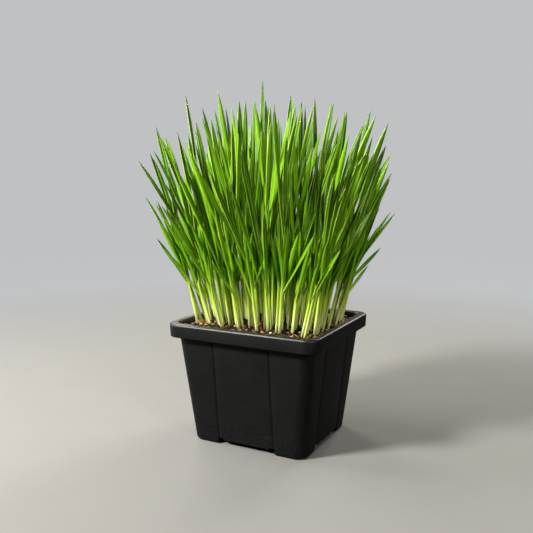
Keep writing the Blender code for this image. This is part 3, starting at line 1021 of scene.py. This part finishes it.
def build_husks(plants, mottled):
    """Golden seed husks on the mix, round the foot of each plant."""
    draw = random.Random(HUSK_SEED)
    points = []
    for plant in plants:
        for _ in range(HUSKS):
            turn = draw.uniform(0, 2 * math.pi)
            away = draw.uniform(*HUSK_PLACES)
            x = plant.x + away * math.cos(turn)
            y = plant.y + away * math.sin(turn)
            points.append((x, y, soil_height(x, y, SCATTER_SHARE) + HUSK_LIFT))
    mesh = bpy.data.meshes.new("husk places")
    mesh.from_pydata(points, [], [])
    sizes = HUSK_SIZES | {"Material": chip_material("seed husks", HUSK_STOPS, 0.5, mottled)}
    husks = shaped("seed_husks", mesh, husks_tree(sizes), sizes, ("tint",))
    place_on_root(husks, "soil")


# Grass: the same rule and the same draws place the blades as in the solids


def root_places():
    """The middle of each block of roots, row by row from the front."""
    return [
        Vector(((i - (COLUMNS - 1) / 2) * PITCH_X, (j - (ROWS - 1) / 2) * PITCH_Y, SOIL_TOP))
        for j in range(ROWS)
        for i in range(COLUMNS)
    ]


def hold_in(tip):
    """Moves a tip in, where it would pass the reach of the grass."""
    beyond = math.hypot(tip.x / (REACH_X - WITHIN_REACH), tip.y / (REACH_Y - WITHIN_REACH))
    tip /= max(beyond, 1)
    return tip


def natural_tip(plant, turn, draw):
    """Where a blade's tip comes by itself: its plant leans out more, and is shorter, near the
    wall, and the blade splays to its own side of the plant."""
    share = Vector((plant.x / (COLUMNS * PITCH_X / 2), plant.y / (ROWS * PITCH_Y / 2)))
    edge = min(share.length, FULL_LEAN)
    tip = Vector((plant.x, plant.y, 0))
    away = tip.normalized() * SPREAD * edge**LEAN_POWER * draw.uniform(*LEAN_SHARES)
    away += heading(turn) * draw.uniform(*SPLAYS)
    height = TALLEST - EDGE_DROP * edge**2 - draw.uniform(0, UNEVENNESS)
    if draw.random() < SHORT_CHANCE + SHORT_CHANCE_AT_EDGE * edge:
        height *= draw.uniform(*SHORT_SHARES)
        away *= SHORT_LEAN
    tip = hold_in(tip + away)
    tip.z = SOIL_TOP + height
    return tip


def chosen_tips():
    """The tips that shape the outline, then the four that reach furthest along X and Y."""
    across = heading(VIEW_TURN)
    forward = Vector((math.sin(VIEW_TURN), -math.cos(VIEW_TURN), 0))
    tips = []
    for u, v, height in LISTED_TIPS:
        tips.append((across * u + forward * v + Vector((0, 0, height))) * MM)
    for x, y in ((REACH_X, 0), (-REACH_X, 0), (0, REACH_Y), (0, -REACH_Y)):
        tips.append(Vector((x, y, REACH_HEIGHT)))
    return [tip + Vector((0, 0, SOIL_TOP)) for tip in tips]


def plants_of_bunch(place, draw):
    """Spread places for the plants on one block of roots: each is the best of several draws."""
    half_x = ROOT_X / 2 - PLANT_FROM_EDGE
    half_y = ROOT_Y / 2 - PLANT_FROM_EDGE
    corner = half_x + half_y - ROOT_CHAMFER / 2
    plants = []
    for _ in range(PLANTS):
        choices = []
        while len(choices) < SPOTS:
            x, y = draw.uniform(-half_x, half_x), draw.uniform(-half_y, half_y)
            if abs(x) + abs(y) < corner:
                spot = place + Vector((x, y, 0))
                nearest = min(((spot - plant).length for plant in plants), default=0)
                choices.append((nearest, *spot))
        plants.append(Vector(max(choices)[1:]))
    return plants


def slots_of_bunch(bunch, place, draw):
    """A slot for each blade: its bunch, foot, the side of its plant, the plant and its own tip."""
    slots = []
    for plant in plants_of_bunch(place, draw):
        first = draw.uniform(0, 2 * math.pi)
        for leaf in range(LEAVES):
            turn = first + leaf * 2 * math.pi / LEAVES
            foot = plant + heading(turn) * STEM_SPACING
            slots.append(Slot(bunch, foot, turn, plant, natural_tip(plant, turn, draw)))
    return slots


def axis_point(blade, t):
    """The middle line of a blade, from its foot at 0 to its tip at 1."""
    return blade.foot + 2 * t * (1 - t) * blade.knee + t * t * (blade.tip - blade.foot)


def axis_direction(blade, t):
    reach = blade.tip - blade.foot
    return ((1 - t) * blade.knee + t * (reach - blade.knee)).normalized()


def section(blade, t, width, thickness, margin):
    """Left edge, right edge and back ridge of a plain blade at t."""
    along = axis_direction(blade, t)
    face = heading(blade.facing + blade.twist * t)
    face = (face - along * along.dot(face)).normalized()
    side = along.cross(face)
    middle = axis_point(blade, t)
    half = width / 2 + 2 * margin
    flat = middle - face * (thickness / 3 + margin)
    return (flat - side * half, flat + side * half, middle + face * (thickness * 2 / 3 + margin))


def plain_blade(blade, margin=0.0):
    """A plain three-sided blade, for finding what the finished one would cross."""
    shoulder = blade.width * SHOULDER_WIDTH
    sections = [
        section(blade, 0, STEM_WIDTH, STEM_THICKNESS, margin),
        section(blade, blade.stem, STEM_WIDTH * STEM_WIDENING, STEM_THICKNESS, margin),
        section(blade, BROADEST, blade.width, BLADE_THICKNESS, margin),
        section(blade, SHOULDER, shoulder, BLADE_THICKNESS * SHOULDER_THICKNESS, margin),
    ]
    down = axis_direction(blade, 0) * ROOTED
    middle = axis_point(blade, 0)
    sections[0] = [middle + (point - middle) * ROOT_TAPER - down for point in sections[0]]
    shape = bmesh.new()
    rows = [[shape.verts.new(point) for point in row] for row in sections]
    tip = shape.verts.new(blade.tip)
    for lower, upper in zip(rows, rows[1:]):
        for i, j in ((0, 1), (2, 1), (0, 2)):
            shape.faces.new((lower[i], lower[j], upper[j]))
            shape.faces.new((lower[i], upper[j], upper[i]))
    for i, j in ((0, 1), (2, 1), (0, 2)):
        shape.faces.new((rows[-1][i], rows[-1][j], tip))
    shape.faces.new(rows[0])
    return shape


def surroundings(shape):
    """A blade's search tree and its box, for finding what it crosses."""
    tree = BVHTree.FromBMesh(shape)
    low = [min(vert.co[axis] for vert in shape.verts) for axis in range(3)]
    high = [max(vert.co[axis] for vert in shape.verts) for axis in range(3)]
    shape.free()
    return tree, low, high


def crosses(one, other):
    """Whether two blades meet. Their boxes are looked at first."""
    apart = (one[1][i] > other[2][i] or other[1][i] > one[2][i] for i in range(3))
    return not any(apart) and bool(one[0].overlap(other[0]))


def share_at(foot, tip, height):
    """How far along a blade it is at a height over its foot."""
    return min(height / (2 * KNEE_UP * (tip.z - foot.z)), LONGEST_STEM)


def rooted_blade(slot, tip, width, facing, twist):
    """A blade that stands in the mix."""
    foot = slot.foot
    reach = tip - foot
    knee = Vector((reach.x * KNEE_OUT, reach.y * KNEE_OUT, reach.z * KNEE_UP))
    stem = share_at(foot, tip, STEM_HEIGHT)
    return Blade(slot.plant, foot, tip, knee, width, facing, twist, stem)


def fit_blade(slot, aims, grown, draw):
    """The first blade towards one of the aims that is clear of other bunches and crosses no
    blade of its own, or None. Each grown item is a bunch, a plant and its blade's surroundings."""
    for aim in aims:
        width = draw.uniform(*BLADE_WIDTHS)
        facing = slot.turn + draw.uniform(-LOOSE_FACING, LOOSE_FACING)
        blade = rooted_blade(slot, aim, width, facing, draw.uniform(-MOST_TWIST, MOST_TWIST))
        bare = surroundings(plain_blade(blade))
        wide = surroundings(plain_blade(blade, CLEARANCE))
        if not any(
            crosses(bare if bunch == slot.bunch else wide, other) for bunch, _, other in grown
        ):
            grown.append((slot.bunch, slot.plant, bare))
            return blade
    return None


def grow_blades():
    """The blades of every bunch, first those with a chosen tip, and the surroundings of all."""
    draw = random.Random(BLADE_SEED)
    places = root_places()
    free = []
    for bunch, place in enumerate(places):
        free += slots_of_bunch(bunch, place, draw)
    grown = []
    bunches = [[] for _ in places]
    for tip in chosen_tips():
        near = sorted(free, key=lambda slot: (slot.tip.xy - tip.xy).length)[:NEAREST]
        for slot in near:
            blade = fit_blade(slot, [tip] * TRIES, grown, draw)
            if blade:
                bunches[slot.bunch].append(blade)
                free.remove(slot)
                break
    for slot in free:
        aims = (natural_tip(slot.plant, slot.turn, draw) for _ in range(TRIES))
        blade = fit_blade(slot, aims, grown, draw)
        if blade:
            bunches[slot.bunch].append(blade)
    return bunches, grown


def stem_lean(blades):
    """How far a plant's stem leans on its way up, per metre: the mean of its blades."""
    total = Vector()
    for blade in blades:
        step = axis_point(blade, share_at(blade.foot, blade.tip, PARTING_HEIGHTS[1])) - blade.plant
        total += step / step.z
    return total / len(blades)


def leaves_of_plant(blades, lean, draw):
    """The blades of a plant as leaves. The lowest parts first, and the tallest is the stem."""
    low, high = PARTING_HEIGHTS
    leaves = []
    ordered = sorted(blades, key=lambda blade: blade.tip.z)
    for order, blade in enumerate(ordered, 1):
        height = low + (high - low) * (order - draw.random()) / len(ordered)
        parting = share_at(blade.foot, blade.tip, height)
        if order == len(ordered):
            leaves.append(Leaf(blade, BLADE_ROOT, parting, lean, draw.uniform(*STEM_WIDTHS)))
        else:
            leaves.append(Leaf(blade, parting - HIDDEN_START, parting, lean, LEAF_FOOT))
    return leaves


def stem_top(blades):
    """How high over the mix the tallest blade of a plant parts from its stem."""
    tallest = max(blade.tip.z - blade.foot.z for blade in blades)
    return min(PARTING_HEIGHTS[1], LONGEST_STEM * 2 * KNEE_UP * tallest)


def mean_length(blades):
    return sum((blade.tip - blade.foot).length for blade in blades) / len(blades)


def side_blade(plant, foot, lean, length, draw):
    """A blade that opens from a stem at its foot and leaves it to one side."""
    turn = draw.uniform(0, 2 * math.pi)
    whole = max(length * draw.uniform(*SIDE_LENGTHS), foot.z - plant.z + SIDE_SHORTEST)
    tip = plant + lean.normalized() * whole
    splay = (tip - foot).length * draw.uniform(*SIDE_SPLAYS)
    tip += heading(turn) * splay
    height = min(tip.z, REACH_TOP - WITHIN_REACH)
    tip = hold_in(tip)
    tip.z = height
    upright = lean.normalized() * (tip - foot).length
    knee = (tip - foot).lerp(upright, SIDE_BOW) * SIDE_KNEE
    width = draw.uniform(*SIDE_WIDTHS)
    twist = draw.uniform(-MOST_TWIST, MOST_TWIST)
    return Blade(plant, foot, tip, knee, width, turn, twist, SIDE_ROUND)


def grows_clear(blade, bunch, plant, grown):
    """Whether a blade is clear of all other plants. If it is, it joins the grown ones."""
    shape = surroundings(plain_blade(blade))
    clear = not any(crosses(shape, other) for _, owner, other in grown if owner is not plant)
    if clear:
        grown.append((bunch, plant, shape))
    return clear


def side_leaves(bunch, blades, lean, grown, draw):
    """Side leaves of a plant, each clear of all other plants."""
    plant = blades[0].plant
    length = mean_length(blades)
    top = stem_top(blades)
    leaves = []
    for _ in range(SIDE_LEAVES):
        for _ in range(SIDE_TRIES):
            foot = plant + lean * draw.uniform(SIDE_START, top - UNDER_STEM_TOP)
            blade = side_blade(plant, foot, lean, length, draw)
            if grows_clear(blade, bunch, plant, grown):
                leaves.append(Leaf(blade, 0, 0, lean, LEAF_FOOT))
                break
    return leaves


def plants_of(blades):
    """The blades of a bunch, sorted by their plant."""
    plants = {}
    for blade in blades:
        plants.setdefault(id(blade.plant), []).append(blade)
    return plants.values()


def shoot(bunch, place, blades, grown, draw):
    """A shoot beside a plant, on the same block of roots and clear of all other plants. The
    list is empty where it finds no room."""
    plant = blades[0].plant
    lean = stem_lean(blades)
    length = mean_length(blades)
    half_x = ROOT_X / 2 - SHOOT_FROM_EDGE
    half_y = ROOT_Y / 2 - SHOOT_FROM_EDGE
    for _ in range(SIDE_TRIES):
        turn = draw.uniform(0, 2 * math.pi)
        foot = plant + heading(turn) * draw.uniform(*SHOOT_PLACES) - place
        foot.x = min(max(foot.x, -half_x), half_x)
        foot.y = min(max(foot.y, -half_y), half_y)
        foot += place
        blade = side_blade(foot, foot, lean, length, draw)
        if grows_clear(blade, bunch, plant, grown):
            parting = draw.uniform(*SHOOT_PARTINGS) / (blade.tip.z - foot.z)
            return [Leaf(blade, BLADE_ROOT, parting, lean, draw.uniform(*SHOOT_WIDTHS))]
    return []


def leaves_of_bunches(bunches, grown):
    """Every bunch's leaves, plant by plant, and then its shoots."""
    draw = random.Random(LEAF_SEED)
    bunches_of_leaves = []
    for bunch, blades in enumerate(bunches):
        leaves = []
        for own in plants_of(blades):
            lean = stem_lean(own)
            leaves += leaves_of_plant(own, lean, draw)
            leaves += side_leaves(bunch, own, lean, grown, draw)
        bunches_of_leaves.append(leaves)
    draw = random.Random(SHOOT_SEED)
    for bunch, place in enumerate(root_places()):
        for own in plants_of(bunches[bunch]):
            bunches_of_leaves[bunch] += shoot(bunch, place, own, grown, draw)
    return bunches_of_leaves


def lit_twist(blade):
    """A blade's twist, with some more that brings its flat side round to the light."""
    off = math.remainder(blade.facing + blade.twist - LIT_SIDE, math.pi)
    return blade.twist - LIT_TURN * off


def stem_offset(leaf):
    """The step from a leaf's plain path to its plant's stem, where it parts from the stem."""
    own = axis_point(leaf.blade, leaf.parting)
    plant = leaf.blade.plant
    return plant + leaf.lean * (own.z - plant.z) - own


def leaf_points(name, leaves, draw):
    """A mesh with a point at each leaf's foot, which carries the rest of the leaf's facts."""
    blades = [leaf.blade for leaf in leaves]
    mesh = bpy.data.meshes.new(name)
    mesh.from_pydata([blade.foot for blade in blades], [], [])
    facts = {
        "knee": [blade.knee for blade in blades],
        "reach": [blade.tip - blade.foot for blade in blades],
        "plant": [blade.plant for blade in blades],
        "lean": [leaf.lean for leaf in leaves],
        "offset": [stem_offset(leaf) for leaf in leaves],
        "facing": [blade.facing for blade in blades],
        "twist": [lit_twist(blade) for blade in blades],
        "width": [blade.width * LEAF_WIDENING for blade in blades],
        "start": [leaf.start for leaf in leaves],
        "parting": [leaf.parting for leaf in leaves],
        "foot_width": [leaf.foot_width for leaf in leaves],
        "tint": [draw.random() for _ in leaves],
        "fold": [draw.uniform(*FOLD_SHARES) for _ in leaves],
    }
    for label, values in facts.items():
        is_vector = isinstance(values[0], Vector)
        layer = mesh.attributes.new(label, "FLOAT_VECTOR" if is_vector else "FLOAT", "POINT")
        numbers = np.array(values, dtype=np.float32).ravel()
        layer.data.foreach_set("vector" if is_vector else "value", numbers)
    return mesh


def blades_tree(sizes):
    """A blade on each point: a closed tube that starts as a round stem, flattens into a leaf
    with a shallow fold and narrows to a point."""
    tree, nodes, given = new_tree("grass blades", sizes)
    values = {"Vertices": given["Sides"], "Side Segments": given["Rings"], "Radius": 1, "Depth": 1}
    rod = nodes.out("GeometryNodeMeshCylinder", values, "Mesh")
    place = nodes.out("GeometryNodeInputPosition")
    values = {"Points": given["Geometry"], "Instance": nodes.stored(rod, "profile", place)}
    copies = nodes.out("GeometryNodeInstanceOnPoints", values)
    copies = nodes.stored(copies, "foot", place, domain="INSTANCE")
    real = nodes.out("GeometryNodeRealizeInstances", {"Geometry": copies})
    profile, foot, knee, reach = nodes.named("profile foot knee reach")
    plant, lean, offset = nodes.named("plant lean offset")
    start, parting, facing, twist = nodes.named("start parting facing twist", "FLOAT")
    widest, foot_width, own_fold = nodes.named("width foot_width fold", "FLOAT")

    # The middle line: on the stem up to the parting, then from there over to the blade's own path
    across, through, depth = nodes.split(profile)
    t = nodes.ramp((0.5 - depth) ** given["Ring Power"], 1, start)
    rest = 1 - t
    path = foot + knee * (t * rest * 2) + reach * (t * t)
    stem = plant + lean * (nodes.split(path)[2] - nodes.split(plant)[2])
    on_stem = nodes.maths("LESS_THAN", t, parting)
    free = nodes.maths("DIVIDE", rest, 1 - parting, clamp=True)
    middle = path + ((stem - path) * on_stem + offset * (free * free * (1 - on_stem)))

    # The way that the blade runs, its flat face and its side
    along = nodes.vector("NORMALIZE", knee * rest + (reach - knee) * t)
    turn = facing + twist * t
    level = nodes.joined(nodes.maths("COSINE", turn), nodes.maths("SINE", turn), 0)
    upright = nodes.vector("DOT_PRODUCT", level, along, output="Value")
    face = nodes.vector("NORMALIZE", level - along * upright)
    side = nodes.vector("CROSS_PRODUCT", face, along)

    # Its width and thickness, and its fold along the middle
    flat = nodes.ease(t, parting, parting + given["Opening"])
    thin = nodes.ease(t, parting, parting + given["Flattening"])
    length = nodes.vector("LENGTH", reach, output="Value")
    tip_share = nodes.maths("MINIMUM", given["Tip Length"] / length, 1 - given["Earliest Taper"])
    narrowing = nodes.maths("DIVIDE", t - (1 - tip_share), tip_share, clamp=True)
    taper = nodes.maths("MAXIMUM", 1 - narrowing ** given["Taper Power"], given["Finest Tip"])
    width = (foot_width + (widest - foot_width) * flat) * taper
    round_stem = foot_width * given["Stem Roundness"]
    thickness = round_stem + (given["Leaf Thickness"] - round_stem) * thin
    thickness = thickness * nodes.ramp(taper, 0.15, 1)
    fold = width * given["Fold"] * thin * own_fold
    outward = through * thickness * 0.5 + fold * (0.5 - nodes.maths("ABSOLUTE", across))
    surface = middle + side * (across * width * 0.5) + face * outward
    blade = nodes.out("GeometryNodeSetPosition", {"Geometry": real, "Position": surface})
    blade = nodes.out("GeometryNodeSetShadeSmooth", {"Geometry": blade})
    end_tree(nodes, blade, given["Material"])
    return tree


def young_grass():
    """Pale at the foot, bright green above, with fine veins, a light midrib and thin light edges
    that are partly the blade's own paler colour and partly painted highlight, and painted shade on
    the stems' sides. Light also passes through the blade."""
    material, nodes, shader = new_material("young grass")
    place = nodes.object_place()
    height = nodes.split(place)[2] - SOIL_TOP
    across, _, depth = nodes.split(nodes.attribute("profile", "Vector"))
    aside = nodes.maths("ABSOLUTE", across)
    streaks = nodes.noise(place * (900, 900, 35), 1)
    blotch = nodes.noise(place, 60)

    lightness = nodes.attribute("tint", "Fac") ** 1.4
    green = nodes.mixed(lightness, colour(DARK_GREEN), colour(LIGHT_GREEN))
    green = nodes.mixed(nodes.ease(blotch, 0.4, 0.65, 0.0, 0.25), green, colour(BLOTCH_GREEN))
    leaf = nodes.layered(
        colour(FOOT_WHITE),
        (nodes.ease(height, *WHITE_TO_YELLOW), colour(STEM_YELLOW)),
        (nodes.ease(height, *YELLOW_TO_GREEN), colour(STEM_GREEN)),
        (nodes.ease(height, *STEM_TO_LEAF), green),
    )
    # Painted highlight over the blade's own paler midrib and edges: a light green along the rib
    # and the edges
    edged_and_highlit = nodes.layered(
        leaf,
        (nodes.ease(aside, *RIB, 0.0, 0.7), colour(RIB_GREEN_AND_HIGHLIGHT)),
        (nodes.ease(aside, *EDGE, 0.0, 0.85), colour(EDGE_GREEN_AND_HIGHLIGHT)),
    )
    waves = nodes.maths("SINE", across * VEINS)
    veins = nodes.ramp(nodes.maths("MULTIPLY_ADD", waves, 0.5, 0.5), 0.72, 1.08)
    veined = nodes.mixed(1.0, edged_and_highlit, nodes.joined(veins, veins, veins), "MULTIPLY")
    leafy = nodes.ease(height, *VEINS_START)
    shade = nodes.ramp(streaks, 0.84, 1.16)
    shade = nodes.mixed(leafy, (1, 1, 1, 1), nodes.joined(shade, shade, shade))
    streaked = nodes.mixed(1.0, nodes.mixed(leafy, leaf, veined), shade, "MULTIPLY")
    # Painted shade: the stems' sides, where they turn away from the view, get a darker green that
    # fades out up the blade
    aslant = nodes.out("ShaderNodeLayerWeight", {"Blend": 0.4}, "Facing")
    painted_stem_shade = nodes.ease(aslant, 0.3, 0.85, 0, 0.75) * nodes.ease(height, *STEM_PAINTED_SHADE_ENDS)
    tip = nodes.ease(depth + 0.5, 0.965, 0.998, 0.0, 0.5)
    sides, ends = (painted_stem_shade, colour(STEM_PAINTED_SHADE)), (tip, colour(TIP_YELLOW))
    shown = nodes.layered(streaked, sides, ends)

    values = {
        "Base Color": shown,
        "IOR": 1.42,
        "Specular IOR Level": 0.42,
        "Roughness": nodes.ramp(streaks, 0.26, 0.44),
        "Normal": nodes.bump(waves, 0.05 * MM, 0.6),
    }
    nodes.fill(shader, values)
    glow = nodes.mixed(1.0, shown, SHINE_THROUGH, "MULTIPLY")
    through_light = nodes.out("ShaderNodeBsdfTranslucent", {"Color": glow})
    both = (TRANSLUCENCE, Value(nodes, shader.outputs[0]), through_light)
    end = material.node_tree.nodes["Material Output"]
    nodes.fill(end, {"Surface": nodes.out("ShaderNodeMixShader", both)})
    return material


def build_grass():
    """One piece for each bunch, with its side leaves, then the dew. It gives the plants' feet."""
    bunches, grown = grow_blades()
    draw = random.Random(LEAF_SEED)
    sizes = BLADE_SHAPE | {"Material": young_grass()}
    tree = blades_tree(sizes)
    pieces = []
    for number, leaves in enumerate(leaves_of_bunches(bunches, grown), 1):
        points = leaf_points("leaf feet", leaves, draw)
        piece = shaped(f"grass_{number:02d}", points, tree, sizes, ("profile", "tint"))
        place_on_root(piece, "grass", f"grass_bunch_{number:02d}")
        pieces.append(piece)
    build_dew(pieces)
    return {tuple(blade.plant): blade.plant for blades in bunches for blade in blades}.values()


def dew_tree(sizes):
    """Round drops sitting on the upper stretch of the leaves."""
    tree, nodes, given = new_tree("dew on leaves", sizes)
    height = nodes.split(nodes.out("GeometryNodeInputPosition"))[2]
    higher = nodes.ease(height, given["From Height"], REACH_TOP)
    values = {
        "Mesh": given["Geometry"],
        "Seed": given["Seed"],
        "Density": higher * given["Density"],
    }
    kind = "GeometryNodeDistributePointsOnFaces"
    spread = nodes.out(kind, values, "Points", distribute_method="RANDOM")
    values = {"Segments": 8, "Rings": 5, "Radius": 1}
    ball = nodes.out("GeometryNodeMeshUVSphere", values, "Mesh")
    smooth = nodes.out("GeometryNodeSetShadeSmooth", {"Geometry": ball})
    drawn = nodes.random(0.0, 1.0, given["Seed"])
    size = nodes.ramp(drawn**3, given["Smallest"], given["Largest"])
    values = {"Points": spread, "Instance": smooth, "Scale": size}
    end_tree(nodes, nodes.out("GeometryNodeInstanceOnPoints", values), given["Material"])
    return tree


def dew():
    """Clear water."""
    material, nodes, shader = new_material("dew")
    shade = (0.95, 1, 0.93, 1)
    values = {"Base Color": shade, "Roughness": 0.05, "Transmission Weight": 0.9, "IOR": 1.33}
    nodes.fill(shader, values)
    return material


def build_dew(pieces):
    """Dew on the upper leaves of all the grass pieces, as one piece."""
    shape = bmesh.new()
    for piece in pieces:
        shape.from_mesh(piece.data)
    sizes = DEW_SHAPE | {"Material": dew()}
    drops = shaped("dew_drops", mesh_of("all leaves", shape), dew_tree(sizes), sizes)
    place_on_root(drops, "grass")


# Studio


def pale_floor():
    """A matt floor that fades into the backdrop further out, as a paper sweep does. The camera
    sees it paler than it lights the object from below."""
    material, nodes, shader = new_material("pale floor")
    place = nodes.object_place()
    far = nodes.ease(nodes.vector("LENGTH", place, output="Value"), *FADE)
    seen = nodes.out("ShaderNodeLightPath", output="Is Camera Ray")
    darker = tuple(FLOOR_GRAIN * part for part in FLOOR_SEEN)
    pale = nodes.mixed(nodes.noise(place, 30, 3), FLOOR_SEEN, darker)
    near = nodes.mixed(seen, FLOOR_SHADE, pale)
    values = {
        "Base Color": nodes.mixed(far, near, (0, 0, 0, 1)),
        "Roughness": 0.8,
        "Specular IOR Level": 0.1,
        "Emission Color": BACKDROP,
        "Emission Strength": far * seen * WORLD_SEEN,
    }
    nodes.fill(shader, values)
    return material


def build_floor():
    shape = bmesh.new()
    bmesh.ops.create_circle(shape, cap_ends=True, segments=96, radius=FLOOR_RADIUS)
    floor = make_object("floor", shape)
    floor.data.materials.append(pale_floor())


def around(azimuth, elevation, distance):
    """A place round the object: azimuth 0 is in front of it, and 90 to its right."""
    turn, rise = math.radians(azimuth), math.radians(elevation)
    level = math.cos(rise)
    return Vector((math.sin(turn) * level, -math.cos(turn) * level, math.sin(rise))) * distance


def aimed(name, data, back, target):
    """A camera or a light that looks at the target, from back away from it."""
    obj = add_object(name, data)
    obj.location = target + back
    obj.rotation_euler = (-back).to_track_quat("-Z", "Y").to_euler()
    return obj


def add_camera():
    aim = heading(math.radians(VIEW_AZIMUTH)) * AIM_ACROSS + Vector((0, 0, AIM_HEIGHT))
    data = bpy.data.cameras.new("camera")
    data.sensor_width = SENSOR
    data.lens = LENS
    data.clip_start = 0.01
    back = around(VIEW_AZIMUTH, VIEW_ELEVATION, VIEW_DISTANCE)
    bpy.context.scene.camera = aimed("camera", data, back, aim)


def build_world():
    """Soft light from all round. The camera sees it paler than it shines."""
    world = bpy.data.worlds.new("studio")
    world.use_nodes = True
    nodes = Nodes(world.node_tree)
    seen = nodes.out("ShaderNodeLightPath", output="Is Camera Ray")
    values = {"Color": BACKDROP, "Strength": nodes.ramp(seen, WORLD_LIGHT, WORLD_SEEN)}
    nodes.fill(world.node_tree.nodes["Background"], values)
    bpy.context.scene.world = world


def add_lights():
    for name, azimuth, elevation, distance, size, power, shade in LIGHTS:
        data = bpy.data.lights.new(name, "AREA")
        data.size = size
        data.energy = power
        data.color = shade
        aimed(name, data, around(azimuth, elevation, distance), LIT_MIDDLE)
    build_world()


def main():
    build_pot()
    build_soil()
    mottled = mottling()
    build_chips(mottled)
    build_husks(build_grass(), mottled)
    build_floor()
    add_camera()
    add_lights()
    bpy.context.scene.view_settings.view_transform = "Standard"


main()
